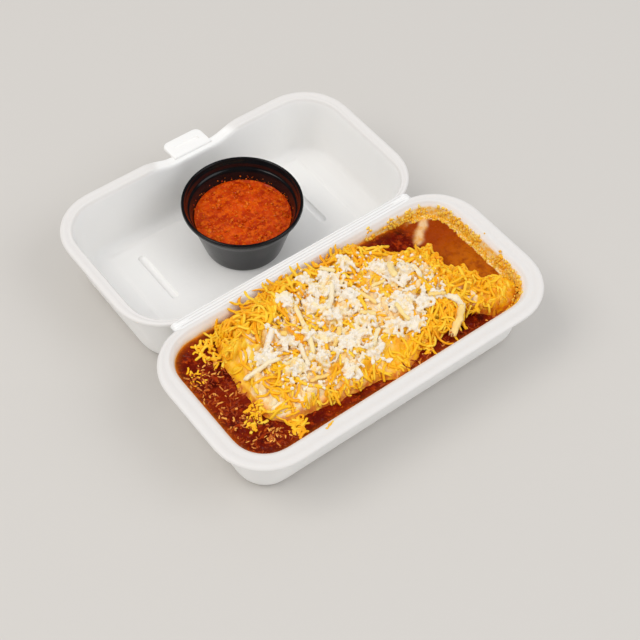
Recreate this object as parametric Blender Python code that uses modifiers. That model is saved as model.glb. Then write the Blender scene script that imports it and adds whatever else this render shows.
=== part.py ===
# Enchiladas in an open foam takeaway box, with a cup of salsa standing in the lid.
# Blender 4.5, metres, +Z up. X runs along the hinge and +Y points from the base to the lid.
# The origin is at the bottom centre of the open box, the latch tab included.
import math
import random

import bmesh
import bpy
from mathutils import Euler, Vector, noise

MM = 0.001
TOUCH_GAP = 0.4 * MM          # air between pieces that rest on each other
SLIVER = 0.001 * MM           # points this close are made one after a union

# Foam box
RIM_HEIGHT = 36 * MM          # both rims and the crease are this high
BASE_LENGTH = 187 * MM
BASE_WIDTH = 92.6 * MM
LID_LENGTH = 172 * MM
LID_WIDTH = 97.6 * MM
CORNER_RADIUS = 27 * MM
SMALLEST_RADIUS = 7 * MM
CREASE_GAP = 0.4 * MM         # from the crease to the edge of each half
TAB_LENGTH = 10 * MM
TAB_WIDTH = 23 * MM
TAB_THICKNESS = 2.2 * MM
TAB_OFFSET = 4 * MM           # the tab and its notch sit a little right of the middle
NOTCH_DEPTH = 4.5 * MM
NOTCH_HALF_WIDTH = 30 * MM
POCKET_DEPTH = 2.5 * MM       # the far wall bulges outwards under the tab
CREASE_Y = (BASE_WIDTH - LID_WIDTH - TAB_LENGTH) / 2

# Wall sections, as (inset from the rim's outline, height) in millimetres, from the middle of
# the underside over the rim to the middle of the floor
BASE_WALL_TOP = (10.1, 31.5)
BASE_WALL_FOOT = (13.6, 6)
BASE_SECTION = [
    (19, 0), (15.5, 0.3), (13, 1.6), (11.6, 4.5), (7.8, 30.5), (6.8, 32.3), (5, 33.2), (2, 33.5),
    (0.5, 33.9), (0, 34.7), (0.7, 35.6), (2.2, 36), (4.4, 35.3), (6.4, 35.7), (8.2, 35.2),
    (9.4, 33.8), BASE_WALL_TOP, BASE_WALL_FOOT, (14.8, 4), (17, 3), (21, 2.7)]
LID_SECTION = [
    (17, 0), (13.5, 0.3), (11, 1.6), (9.2, 4.5), (4.7, 31), (4, 32.4), (2.9, 33.2), (1.4, 33.5),
    (0.4, 33.9), (0, 34.7), (0.6, 35.6), (1.8, 36), (3.4, 35.6), (4.6, 35.8), (5.8, 35.3),
    (6.6, 34), (7.1, 31.5), (10.6, 6), (11.8, 4), (14, 3.2), (18, 3)]
LID_FLOOR = 3 * MM
HINGE_RIM_SHARE = 0.5         # the rim is half as wide along the crease
WIDE_RIM = 9 * MM             # past this inset the wall runs parallel on all sides

# Salsa cup
CUP_CENTRE_X = 2.3 * MM
CUP_FROM_CREASE = 48.3 * MM
CUP_RIM_RADIUS = 31 * MM
CUP_BASE_RADIUS = 20.5 * MM
CUP_HEIGHT = 31.6 * MM
CUP_WALL = 0.9 * MM
CUP_STEPS = 40
SALSA_HEIGHT = 20 * MM        # above the underside of the cup

# Food, in the base: heights above the table, outlines as (along X, away from the crease)
SAUCE_LEVEL = 30 * MM
ROLL_BOTTOM = 3.4 * MM
ROLL_TOP = 34.6 * MM
ROLL_LEFT = -55 * MM
ROLL_HALF_WIDTH = 14.9 * MM
ROLL_ROUNDNESS = 0.75         # 1 is a true ellipse, less is squarer
ROLLS = {"enchilada_front": (57.3 * MM, 66 * MM), "enchilada_back": (26.6 * MM, 34 * MM)}
ROLL_SIDES = 16
CHEESE_CENTRE = (0.0, 45 * MM)
CHEESE_OUTLINE = [
    (-59, 20), (-62, 31), (-62.5, 44), (-61.5, 60), (-59.5, 67), (-53, 71.5), (-42, 73), (-30, 75.5),
    (-16, 77), (0, 77.5), (30, 73), (58, 71), (72, 66), (75, 57), (68, 44), (56, 33), (44, 22),
    (34, 11.5), (10, 8.6), (-30, 8.8), (-50, 12)]
CHEESE_EDGE = 31.4 * MM
CHEESE_CROWN = 8.5 * MM       # how far the mound rises above its edge
CHEESE_SLOPE = 24 * MM        # the mound climbs over this distance from its edge
WHITE_OUTLINE = [
    (-50, 52), (-44, 68), (-30, 72), (-12, 66), (10, 60), (34, 55), (50, 48), (52, 38),
    (38, 26), (16, 18.5), (-8, 19), (-28, 27), (-42, 38)]
WHITE_CENTRE = (-4 * MM, 44 * MM)
WHITE_THICKNESS = 3 * MM
CHEDDAR_SHREDS = 60
WHITE_SHREDS = 40
PIECE_SPACING = 4.8 * MM
CHEDDAR_SEED = 23
WHITE_SEED = 8
RIM_SHREDS = 9                # shreds that stick up over the back rim


def clear_scene():
    for item in list(bpy.data.objects):
        bpy.data.objects.remove(item, do_unlink=True)


def new_collection(name):
    group = bpy.data.collections.new(name)
    bpy.context.scene.collection.children.link(group)
    return group


def material(name, colour, roughness, metallic=0.0):
    finish = bpy.data.materials.new(name)
    finish.use_nodes = True
    shader = finish.node_tree.nodes["Principled BSDF"]
    shader.inputs["Base Color"].default_value = (*colour, 1)
    shader.inputs["Roughness"].default_value = roughness
    shader.inputs["Metallic"].default_value = metallic
    finish.diffuse_color = (*colour, 1)
    return finish


def add_object(name, mesh, group, finish=None):
    item = bpy.data.objects.new(name, mesh)
    group.objects.link(item)
    if finish:
        mesh.materials.append(finish)
    return item


def loft(name, rings):
    """A closed solid through rings of equally many points, with a flat cap at either end."""
    mesh = bpy.data.meshes.new(name)
    points = [point for ring in rings for point in ring]
    count = len(rings[0])
    faces = [tuple(reversed(range(count)))]
    for row in range(len(rings) - 1):
        for k in range(count):
            here = row * count + k
            beside = row * count + (k + 1) % count
            faces.append((here, beside, beside + count, here + count))
    faces.append(tuple(range((len(rings) - 1) * count, len(rings) * count)))
    mesh.from_pydata(points, [], faces)
    shape = bmesh.new()
    shape.from_mesh(mesh)
    bmesh.ops.recalc_face_normals(shape, faces=shape.faces)
    shape.to_mesh(mesh)
    shape.free()
    return mesh


def smooth_step(value):
    value = min(max(value, 0.0), 1.0)
    return value * value * (3 - 2 * value)


def from_crease(distance, side):
    """World Y of a place so far from the crease, on the base's side (-1) or the lid's (+1)."""
    return CREASE_Y + side * distance


def hinge_inset(inset):
    """How far a wall section stands in from the crease edge, where the rim is narrower."""
    return inset - (1 - HINGE_RIM_SHARE) * min(inset, WIDE_RIM)


def tray_ring(length, width, side, inset, height, arc_steps=5, long_steps=12):
    """One level of a foam half: a rounded rectangle, its long sides cut into short runs."""
    half = length / 2 - inset
    near = CREASE_GAP + hinge_inset(inset)
    far = CREASE_GAP + width - inset
    radius = max(CORNER_RADIUS - inset, SMALLEST_RADIUS)
    corners = [(half, near, -90), (half, far, 0), (-half, far, 90), (-half, near, 180)]
    ring = []
    for x, distance, start in corners:
        centre_x = x - math.copysign(radius, x)
        centre_d = distance + radius if distance == near else distance - radius
        for step in range(arc_steps + 1):
            angle = math.radians(start + 90 * step / arc_steps)
            ring.append((centre_x + radius * math.cos(angle), centre_d + radius * math.sin(angle)))
        if distance == far and x > 0 or distance == near and x < 0:
            run = 2 * (half - radius)
            direction = -1 if x > 0 else 1
            for step in range(1, long_steps):
                ring.append((centre_x + direction * run * step / long_steps, distance))
    return [Vector((x, from_crease(d, side), height)) for x, d in ring]


def tray_rings(length, width, side, section):
    return [tray_ring(length, width, side, inset * MM, height * MM) for inset, height in section]


def notch_drop(x):
    """How far the lid's front rim dips at this place along it, from 0 to 1."""
    return smooth_step(1.6 - 1.6 * abs(x - TAB_OFFSET) / NOTCH_HALF_WIDTH)


def shape_lid_front(point):
    """Lower the rim in the notch and push the wall out into the pocket under the tab."""
    middle = from_crease(LID_WIDTH / 2, 1)
    if point.y < middle:
        return
    share = smooth_step((point.z - LID_FLOOR) / (RIM_HEIGHT - LID_FLOOR))
    pocket = smooth_step(1.7 - 1.7 * abs(point.x - TAB_OFFSET) / (0.75 * TAB_WIDTH))
    wall_share = math.sin(math.pi * min(max(point.z / RIM_HEIGHT, 0.0), 1.0))
    point.z -= NOTCH_DEPTH * share * notch_drop(point.x)
    if point.z > LID_FLOOR:
        point.y += POCKET_DEPTH * pocket * wall_share * (point.y - middle) / (LID_WIDTH / 2)


def box_base(group, finish):
    rings = tray_rings(BASE_LENGTH, BASE_WIDTH, -1, BASE_SECTION)
    add_object("box_base", loft("box_base", rings), group, finish)


def box_lid(group, cutters, finish):
    rings = tray_rings(LID_LENGTH, LID_WIDTH, 1, LID_SECTION)
    for ring in rings:
        for point in ring:
            shape_lid_front(point)
    lid = add_object("box_lid", loft("box_lid", rings), group, finish)
    tab = latch_tab(cutters)
    weld = lid.modifiers.new("latch tab", "BOOLEAN")
    weld.operation = "UNION"
    weld.object = tab


def latch_tab(cutters):
    """The tab that latches the closed box: a thin plate with round outer corners."""
    overlap = 3 * MM
    reach = TAB_LENGTH + overlap
    centre_y = from_crease(LID_WIDTH + CREASE_GAP - overlap, 1) + reach / 2
    height = RIM_HEIGHT - NOTCH_DEPTH - 1.6 * MM
    shape = bmesh.new()
    bmesh.ops.create_cube(shape, size=1)
    bmesh.ops.scale(shape, vec=(TAB_WIDTH, reach, TAB_THICKNESS), verts=shape.verts)
    outer = [edge for edge in shape.edges
             if all(corner.co.y > 0 for corner in edge.verts)
             and abs(edge.verts[0].co.z - edge.verts[1].co.z) > MM]
    bmesh.ops.bevel(shape, geom=outer, offset=3.5 * MM, segments=4, profile=0.5,
                     affect="EDGES")
    mesh = bpy.data.meshes.new("latch_tab")
    shape.to_mesh(mesh)
    shape.free()
    tab = add_object("latch_tab", mesh, cutters)
    tab.location = (TAB_OFFSET, centre_y, height)
    tab.hide_render = True
    tab.display_type = "WIRE"
    return tab


def turned(name, profile, steps, group, finish):
    """A turned solid from a profile of (radius, height) that runs down its outer side."""
    mesh = bpy.data.meshes.new(name)
    points = [(radius, 0, height) for radius, height in profile]
    mesh.from_pydata(points, [(k, k + 1) for k in range(len(points) - 1)], [])
    item = add_object(name, mesh, group, finish)
    screw = item.modifiers.new("turn", "SCREW")
    screw.steps = steps
    screw.render_steps = steps
    screw.use_merge_vertices = True
    screw.merge_threshold = 0.00001
    return item


def cup_inner_radius(height):
    """Inner radius of the cup's plain wall, so high above its underside."""
    top = CUP_RIM_RADIUS - 3.4 * MM
    share = height / (CUP_HEIGHT - 6 * MM)
    return CUP_BASE_RADIUS - CUP_WALL + (top - CUP_BASE_RADIUS) * min(share, 1.0)


def sauce_cup(group, finish):
    rim = CUP_RIM_RADIUS
    top = CUP_HEIGHT
    ledge = top - 6 * MM
    ledge_radius = cup_inner_radius(ledge)
    profile = [
        (0, 0.9 * MM + CUP_WALL), (CUP_BASE_RADIUS - 3 * MM, 0.9 * MM + CUP_WALL),
        (cup_inner_radius(2 * MM), 2.4 * MM), (ledge_radius, ledge),
        (ledge_radius + 1.1 * MM, ledge + 0.8 * MM), (rim - 1.7 * MM, top - 1 * MM),
        (rim - 1.2 * MM, top), (rim - 0.4 * MM, top), (rim, top - 0.7 * MM),
        (rim, top - 2.4 * MM), (rim - 0.8 * MM, top - 2.4 * MM),
        (ledge_radius + 1.1 * MM + CUP_WALL, ledge), (ledge_radius + CUP_WALL, ledge - 0.8 * MM),
        (CUP_BASE_RADIUS, 0), (CUP_BASE_RADIUS - 1.6 * MM, 0),
        (CUP_BASE_RADIUS - 2.4 * MM, 0.9 * MM), (0, 0.9 * MM)]
    cup = turned("sauce_cup", profile, CUP_STEPS, group, finish)
    cup.location = (CUP_CENTRE_X, from_crease(CUP_FROM_CREASE, 1), LID_FLOOR + TOUCH_GAP)
    return cup


def salsa_top(x, y):
    """Height of the uneven surface of the salsa at a place measured from the cup's axis."""
    lumps = noise.noise(Vector((x, y, 0)) * 190) + 0.5 * noise.noise(Vector((x, y, 3)) * 420)
    return SALSA_HEIGHT + 0.7 * MM * lumps


def salsa(cup, group, finish):
    """The salsa fills the cup from its floor, as levels of rings and a lumpy top."""
    sides = CUP_STEPS
    gap = TOUCH_GAP
    levels = [3 * MM + CUP_WALL, SALSA_HEIGHT - 1.2 * MM]
    rings = []
    for height in levels:
        radius = cup_inner_radius(height) - gap
        rings.append([Vector((radius * math.cos(a), radius * math.sin(a), height))
                      for a in circle_angles(sides)])
    for share in (0.94, 0.75, 0.52, 0.28):
        radius = share * (cup_inner_radius(SALSA_HEIGHT) - gap)
        ring = []
        for angle in circle_angles(sides):
            x = radius * math.cos(angle)
            y = radius * math.sin(angle)
            ring.append(Vector((x, y, salsa_top(x, y))))
        rings.append(ring)
    item = add_object("salsa", loft("salsa", rings), group, finish)
    item.location = cup.location
    return item


def circle_angles(sides):
    return [2 * math.pi * k / sides for k in range(sides)]


def enchilada(name, group, finish):
    """A filled tortilla roll: a squarish round section, closing in at both ends."""
    distance, right_end = ROLLS[name]
    rings = []
    middle_z = (ROLL_BOTTOM + ROLL_TOP) / 2
    half_height = (ROLL_TOP - ROLL_BOTTOM) / 2
    length = right_end - ROLL_LEFT
    stations = [0.0, 0.015, 0.05, 0.12, 0.3, 0.5, 0.7, 0.88, 0.95, 0.985, 1.0]
    for station in stations:
        from_end = min(station, 1 - station) * length
        size = 0.72 + 0.28 * math.sqrt(smooth_step(from_end / (12 * MM)))
        x = ROLL_LEFT + station * length
        ring = []
        for angle in circle_angles(ROLL_SIDES):
            across = math.copysign(abs(math.cos(angle)) ** ROLL_ROUNDNESS, math.cos(angle))
            rise = math.copysign(abs(math.sin(angle)) ** ROLL_ROUNDNESS, math.sin(angle))
            y = from_crease(distance, -1) + across * ROLL_HALF_WIDTH * size
            ring.append(Vector((x, y, middle_z + rise * half_height * size)))
        rings.append(ring)
    return add_object(name, loft(name, rings), group, finish)


def sauce_top(x, y):
    """Height of the thick sauce, which lies in soft low waves."""
    waves = noise.noise(Vector((x, y, 0)) * 70) + 0.6 * noise.noise(Vector((x, y, 7)) * 170)
    return SAUCE_LEVEL - 0.7 * MM + 0.6 * MM * waves


def wall_inset(height):
    """Inset of the base's inner wall at this height, read from its section."""
    top_inset, top_height = BASE_WALL_TOP
    foot_inset, foot_height = BASE_WALL_FOOT
    share = (height / MM - foot_height) / (top_height - foot_height)
    return (foot_inset + (top_inset - foot_inset) * share) * MM


def chile_sauce(group, cutters, finish):
    """The pool of sauce fills the base and is cut out round the two rolls."""
    gap = TOUCH_GAP
    levels = [(21 * MM, 2.7 * MM + gap), (16.5 * MM, 4.4 * MM), (wall_inset(8 * MM) + gap, 8 * MM),
              (wall_inset(SAUCE_LEVEL) + gap, SAUCE_LEVEL - 1.4 * MM)]
    rings = [tray_ring(BASE_LENGTH, BASE_WIDTH, -1, inset, height) for inset, height in levels]
    for inset in (12, 17, 23, 30):
        ring = tray_ring(BASE_LENGTH, BASE_WIDTH, -1, inset * MM, 0)
        rings.append([Vector((p.x, p.y, sauce_top(p.x, p.y))) for p in ring])
    pool = add_object("chile_sauce", loft("chile_sauce", rings), group, finish)
    for name in ROLLS:
        hollow = enchilada(name, cutters, None)
        hollow.name = "hollow_" + name
        grow_mesh(hollow.data, TOUCH_GAP)
        hollow.hide_render = True
        hollow.display_type = "WIRE"
        cut = pool.modifiers.new("room for " + name, "BOOLEAN")
        cut.operation = "DIFFERENCE"
        cut.object = hollow
    return pool


def grow_mesh(mesh, amount):
    for corner in mesh.vertices:
        corner.co += corner.normal * amount


def outline_reach(outline, centre, angle):
    """Distance from the centre to a closed outline in this direction, smoothed at its corners."""
    total = 0.0
    weight = 0.0
    for turn in (-0.05, 0.0, 0.05):
        total += ray_reach(outline, centre, angle + turn)
        weight += 1.0
    return total / weight


def ray_reach(outline, centre, angle):
    direction = Vector((math.cos(angle), math.sin(angle)))
    best = 0.0
    for k, start in enumerate(outline):
        end = outline[(k + 1) % len(outline)]
        first = Vector((start[0] * MM - centre[0], start[1] * MM - centre[1]))
        run = Vector(((end[0] - start[0]) * MM, (end[1] - start[1]) * MM))
        cross = direction.x * run.y - direction.y * run.x
        if abs(cross) < 1e-12:
            continue
        along = (first.x * run.y - first.y * run.x) / cross
        share = (first.x * direction.y - first.y * direction.x) / cross
        if along > 0 and 0 <= share <= 1:
            best = max(best, along)
    return best


def place_in(outline, centre, x, distance):
    """0 at the outline's centre, 1 on the outline, more outside it, and the room to its edge."""
    dx = x - centre[0]
    dd = distance - centre[1]
    out = math.hypot(dx, dd)
    reach = outline_reach(outline, centre, math.atan2(dd, dx))
    return out / reach, reach - out


def mound_top(x, distance):
    """Height of the cheese mound's bare core."""
    room = max(place_in(CHEESE_OUTLINE, CHEESE_CENTRE, x, distance)[1], 0.0)
    rise = math.sin(math.pi / 2 * min(room / CHEESE_SLOPE, 1.0)) ** 0.8
    waves = noise.noise(Vector((x, distance, 0)) * 36)
    return CHEESE_EDGE + 1.4 * MM + (CHEESE_CROWN + 1.1 * MM * waves) * rise


def mound_bottom(x, distance):
    room = max(place_in(CHEESE_OUTLINE, CHEESE_CENTRE, x, distance)[1], 0.0)
    return CHEESE_EDGE - 0.2 * MM + 4.2 * MM * smooth_step(room / (10 * MM))


def layer(name, outline, centre, top, bottom, shares, sides):
    """A layer of food between two surfaces, drawn on rings that shrink from its outline."""
    def ring(share, surface):
        points = []
        for angle in circle_angles(sides):
            reach = share * outline_reach(outline, centre, angle)
            x = centre[0] + reach * math.cos(angle)
            distance = centre[1] + reach * math.sin(angle)
            points.append(Vector((x, from_crease(distance, -1), surface(x, distance))))
        return points
    under = [ring(share, bottom) for share in reversed(shares)]
    over = [ring(share, top) for share in shares]
    return loft(name, under + over)


def shred(length, thick, bend, turn, tilt, place, segments=2):
    """A bent strip of cheese with a square section, its middle at a place on the food."""
    rings = []
    for step in range(segments + 1):
        share = step / segments - 0.5
        along = share * length
        arch = bend * (1 - 4 * share * share)
        size = thick * (0.7 if step in (0, segments) else 1.0)
        ring = []
        for across, rise in ((-0.5, -0.5), (0.5, -0.5), (0.5, 0.5), (-0.5, 0.5)):
            local = Vector((along, across * size * 1.2 + arch * 0.6, rise * size + arch * 0.5))
            local.rotate(tilt_rotation(turn, tilt))
            ring.append(local + place)
        rings.append(ring)
    return loft("shred", rings)


def tilt_rotation(turn, tilt):
    return Euler((0, -tilt, turn))


def fuse(item, pieces, group_name):
    """Join pieces to the core by one Boolean union and keep the one outer body."""
    group = new_collection(group_name)
    for mesh in pieces:
        add_object(group_name + "_piece", mesh, group)
    union = item.modifiers.new("pieces", "BOOLEAN")
    union.operation = "UNION"
    union.operand_type = "COLLECTION"
    union.collection = group
    union.solver = "EXACT"
    graph = bpy.context.evaluated_depsgraph_get()
    joined = bpy.data.meshes.new_from_object(item.evaluated_get(graph))
    item.modifiers.clear()
    item.data = joined
    for piece in list(group.objects):
        bpy.data.objects.remove(piece, do_unlink=True)
    bpy.data.collections.remove(group)
    keep_largest_body(joined)


def keep_largest_body(mesh):
    """Drop loose scraps and the walls of sealed hollows, which are separate bodies."""
    shape = bmesh.new()
    shape.from_mesh(mesh)
    bmesh.ops.remove_doubles(shape, verts=shape.verts, dist=SLIVER)
    bmesh.ops.dissolve_degenerate(shape, edges=shape.edges, dist=SLIVER)
    unseen = set(shape.faces)
    bodies = []
    while unseen:
        body = [unseen.pop()]
        for face in body:
            beside = {other for edge in face.edges if edge.is_manifold
                      for other in edge.link_faces}
            for other in beside & unseen:
                unseen.remove(other)
                body.append(other)
        bodies.append(body)
    largest = max(bodies, key=len)
    scraps = [face for body in bodies if body is not largest for face in body]
    bmesh.ops.delete(shape, geom=scraps, context="FACES")
    bmesh.ops.triangulate(shape, faces=shape.faces)
    shape.to_mesh(mesh)
    shape.free()


def scatter(count, outline, centre, draw, accept):
    """Up to so many random places inside an outline, apart from each other, that a rule accepts."""
    places = []
    for _ in range(40 * count):
        angle = draw.uniform(0, 2 * math.pi)
        reach = math.sqrt(draw.random()) * outline_reach(outline, centre, angle)
        x = centre[0] + reach * math.cos(angle)
        distance = centre[1] + reach * math.sin(angle)
        apart = all(math.hypot(x - a, distance - b) > PIECE_SPACING for a, b in places)
        if len(places) < count and apart and accept(x, distance):
            places.append((x, distance))
    return places


def cheddar_cheese(group, finish):
    """The mound of melted and shredded cheddar, with the shreds that show round the white cheese."""
    mesh = layer("cheddar_cheese", CHEESE_OUTLINE, CHEESE_CENTRE, mound_top, mound_bottom,
                 (1.0, 0.92, 0.76, 0.5, 0.2), 36)
    core = add_object("cheddar_cheese", mesh, group, finish)
    draw = random.Random(CHEDDAR_SEED)

    def beside_white(x, distance):
        white_share = place_in(WHITE_OUTLINE, WHITE_CENTRE, x, distance)[0]
        edge_share = place_in(CHEESE_OUTLINE, CHEESE_CENTRE, x, distance)[0]
        return white_share > 1.22 and edge_share < 0.9

    pieces = []
    for x, distance in scatter(CHEDDAR_SHREDS, CHEESE_OUTLINE, CHEESE_CENTRE, draw, beside_white):
        place = Vector((x, from_crease(distance, -1), mound_top(x, distance) + 0.2 * MM))
        pieces.append(shred(draw.uniform(7, 11) * MM, draw.uniform(1.5, 1.9) * MM,
                            draw.uniform(-2, 2) * MM, draw.uniform(0, math.pi),
                            draw.uniform(-0.25, 0.25), place))
    for k in range(RIM_SHREDS):
        x = (-40 + 66 * k / (RIM_SHREDS - 1)) * MM + draw.uniform(-2, 2) * MM
        distance = 13.5 * MM
        place = Vector((x, from_crease(distance, -1), mound_top(x, distance) + 3.4 * MM))
        pieces.append(shred(draw.uniform(9, 13) * MM, 1.8 * MM, draw.uniform(-1.5, 1.5) * MM,
                            math.radians(draw.uniform(60, 110)), draw.uniform(0.25, 0.6), place))
    fuse(core, pieces, "cheddar_shreds")
    return core


def white_top(x, distance):
    share = place_in(WHITE_OUTLINE, WHITE_CENTRE, x, distance)[0]
    lumps = 0.5 + 0.5 * noise.noise(Vector((x, distance, 5)) * 120)
    return mound_top(x, distance) + 1.5 * MM + WHITE_THICKNESS * lumps * smooth_step(2.4 * (1 - share))


def white_bottom(x, distance):
    return mound_top(x, distance) + 0.9 * MM


def white_cheese(group, finish):
    """The heap of crumbled and shredded white cheese on top of the mound."""
    mesh = layer("white_cheese", WHITE_OUTLINE, WHITE_CENTRE, white_top, white_bottom,
                 (1.0, 0.84, 0.56, 0.24), 30)
    core = add_object("white_cheese", mesh, group, finish)
    draw = random.Random(WHITE_SEED)

    def inside(x, distance):
        return place_in(WHITE_OUTLINE, WHITE_CENTRE, x, distance)[0] < 0.86

    pieces = []
    for x, distance in scatter(WHITE_SHREDS, WHITE_OUTLINE, WHITE_CENTRE, draw, inside):
        place = Vector((x, from_crease(distance, -1), white_top(x, distance) + 0.7 * MM))
        pieces.append(shred(draw.uniform(4, 9) * MM, draw.uniform(1.9, 2.6) * MM,
                            draw.uniform(-1.2, 1.2) * MM, draw.uniform(0, math.pi),
                            draw.uniform(-0.2, 0.2), place))
    fuse(core, pieces, "white_pieces")
    return core


def hinge_empty(group):
    """Marks the crease that the lid turns about."""
    axis = bpy.data.objects.new("lid_hinge", None)
    axis.location = (0, CREASE_Y, RIM_HEIGHT)
    group.objects.link(axis)
    return axis


def main():
    clear_scene()
    part = new_collection("enchiladas_in_foam_box")
    cutters = new_collection("cutters")
    foam = material("foam", (0.88, 0.86, 0.83), 0.55)
    black = material("black_plastic", (0.012, 0.012, 0.013), 0.25)
    red = material("salsa", (0.42, 0.055, 0.012), 0.3)
    chile = material("chile_sauce", (0.17, 0.014, 0.003), 0.3)
    tortilla = material("tortilla", (0.55, 0.27, 0.09), 0.6)
    orange = material("cheddar", (0.9, 0.42, 0.05), 0.45)
    cream = material("white_cheese", (0.86, 0.74, 0.5), 0.5)
    box_base(part, foam)
    box_lid(part, cutters, foam)
    cup = sauce_cup(part, black)
    salsa(cup, part, red)
    chile_sauce(part, cutters, chile)
    for name in ROLLS:
        enchilada(name, part, tortilla)
    cheddar_cheese(part, orange)
    white_cheese(part, cream)
    hinge_empty(part)


main()
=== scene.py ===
# %% [markdown]
# # Enchiladas in an open foam box
# This lesson dresses a plain CAD model of a takeaway meal: a white foam box that lies open,
# two rolled enchiladas in chile sauce under melted and shredded cheese in its base, and a
# small black cup of salsa in its lid. The CAD model gives every size and the hinge. It is
# loaded first and is never moved, and each new piece is built at the place where it belongs.

# %% Load the CAD model
import math
import random

import bmesh
import bpy
import numpy as np
from mathutils import Euler, Matrix, Vector, noise
from mathutils.bvhtree import BVHTree


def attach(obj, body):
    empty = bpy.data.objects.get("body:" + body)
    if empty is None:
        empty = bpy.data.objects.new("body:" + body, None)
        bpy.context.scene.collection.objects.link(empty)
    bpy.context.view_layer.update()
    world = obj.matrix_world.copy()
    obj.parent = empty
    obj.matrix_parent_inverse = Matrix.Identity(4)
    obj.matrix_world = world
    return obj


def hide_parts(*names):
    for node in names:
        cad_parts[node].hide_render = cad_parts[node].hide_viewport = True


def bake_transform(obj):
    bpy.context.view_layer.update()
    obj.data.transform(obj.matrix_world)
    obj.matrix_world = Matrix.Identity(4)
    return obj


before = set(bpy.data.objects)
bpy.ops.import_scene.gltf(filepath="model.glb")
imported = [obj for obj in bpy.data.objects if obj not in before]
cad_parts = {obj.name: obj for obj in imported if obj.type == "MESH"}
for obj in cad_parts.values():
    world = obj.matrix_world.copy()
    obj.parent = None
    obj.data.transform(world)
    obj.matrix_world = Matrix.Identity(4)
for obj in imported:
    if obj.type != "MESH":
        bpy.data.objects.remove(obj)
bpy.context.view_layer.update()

MM = 0.001

# %% [markdown]
# ## A few helpers for working by hand in code
# An operator acts on all that is selected, so every step first deselects everything. In edit
# mode, faces, edges and points are picked by their place or direction, much as one would click
# on them. A finished piece gets its place baked into its mesh, and its object stays at the
# origin, so that patterns in object coordinates never slide.

# %% Helpers for selecting and finishing
def select_only(piece):
    if bpy.context.mode != "OBJECT":
        bpy.ops.object.mode_set(mode="OBJECT")
    bpy.ops.object.select_all(action="DESELECT")
    piece.select_set(True)
    bpy.context.view_layer.objects.active = piece


def open_mesh(piece):
    """Make a piece the only selected one and open it in edit mode."""
    select_only(piece)
    bpy.ops.object.mode_set(mode="EDIT")


def close_mesh():
    bpy.ops.object.mode_set(mode="OBJECT")


def pick(piece, kind, rule):
    """Select only the points, edges or faces of the open mesh that a rule accepts."""
    bpy.ops.mesh.select_mode(type=kind)
    bpy.ops.mesh.select_all(action="DESELECT")
    shape = bmesh.from_edit_mesh(piece.data)
    elements = {"VERT": shape.verts, "EDGE": shape.edges, "FACE": shape.faces}[kind]
    for element in elements:
        if rule(element):
            element.select_set(True)
    bmesh.update_edit_mesh(piece.data)


def face_outward():
    """Select the whole open mesh and turn all its faces outward."""
    bpy.ops.mesh.select_all(action="SELECT")
    bpy.ops.mesh.normals_make_consistent(inside=False)


def add_modifier(piece, kind, **settings):
    """Add a modifier with its settings and apply it at once."""
    select_only(piece)
    modifier = piece.modifiers.new(kind.lower(), kind)
    for name, value in settings.items():
        setattr(modifier, name, value)
    bpy.ops.object.modifier_apply(modifier=modifier.name)


def settle(piece, name):
    """Name a finished piece, bake its place into its mesh and smooth it."""
    select_only(piece)
    piece.name = name
    piece.data.name = name
    bpy.ops.object.transform_apply(location=True, rotation=True, scale=True)
    bpy.ops.object.shade_smooth()
    triangles = sum(len(face.vertices) - 2 for face in piece.data.polygons)
    print(f"{name}: {triangles} triangles")
    return piece


def read_points(piece):
    points = np.empty(len(piece.data.vertices) * 3)
    piece.data.vertices.foreach_get("co", points)
    return points.reshape(-1, 3)


def write_points(piece, points):
    piece.data.vertices.foreach_set("co", points.astype(np.float32).ravel())
    piece.data.update()


def placed_points(piece):
    """Points of a piece in world coordinates, while its object still stands off the origin."""
    return read_points(piece) + np.array(piece.location)


def write_placed(piece, points):
    write_points(piece, points - np.array(piece.location))


def smooth_step(value):
    """A soft rise from 0 to 1, while a value goes from 0 to 1."""
    value = np.clip(value, 0.0, 1.0)
    return value * value * (3 - 2 * value)


# %% [markdown]
# ## The camera
# The photograph looks down at the box from its front left corner with a long lens. The camera
# stands on a line from a target point near the hinge, and a small roll levels the picture.

# %% Camera
CAMERA_AZIMUTH = math.radians(-38.418)
CAMERA_ELEVATION = math.radians(52.127)
CAMERA_ROLL = math.radians(1.476)
CAMERA_DISTANCE = 715.71 * MM
CAMERA_TARGET = Vector((4.403, -22.041, 0)) * MM
FOCAL_PIXELS = 1425.778
PICTURE_PIXELS = 640
SENSOR_WIDTH = 36
FARTHEST_VIEW = 10

backward = Vector((
    math.sin(CAMERA_AZIMUTH) * math.cos(CAMERA_ELEVATION),
    -math.cos(CAMERA_AZIMUTH) * math.cos(CAMERA_ELEVATION),
    math.sin(CAMERA_ELEVATION)))
level_right = Vector((math.cos(CAMERA_AZIMUTH), math.sin(CAMERA_AZIMUTH), 0))
level_up = backward.cross(level_right)
right = level_right * math.cos(CAMERA_ROLL) + level_up * math.sin(CAMERA_ROLL)
up = level_up * math.cos(CAMERA_ROLL) - level_right * math.sin(CAMERA_ROLL)
turn = Matrix((right, up, backward)).transposed().to_4x4()
bpy.ops.object.camera_add()
camera = bpy.context.object
camera.name = "photo_camera"
camera.matrix_world = Matrix.Translation(CAMERA_TARGET + backward * CAMERA_DISTANCE) @ turn
camera.data.sensor_width = SENSOR_WIDTH
camera.data.lens = FOCAL_PIXELS * SENSOR_WIDTH / PICTURE_PIXELS
camera.data.clip_end = FARTHEST_VIEW
bpy.context.scene.camera = camera
bpy.context.scene.view_settings.view_transform = "Standard"
print("Camera stands at", [round(value, 3) for value in camera.matrix_world.translation])

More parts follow.
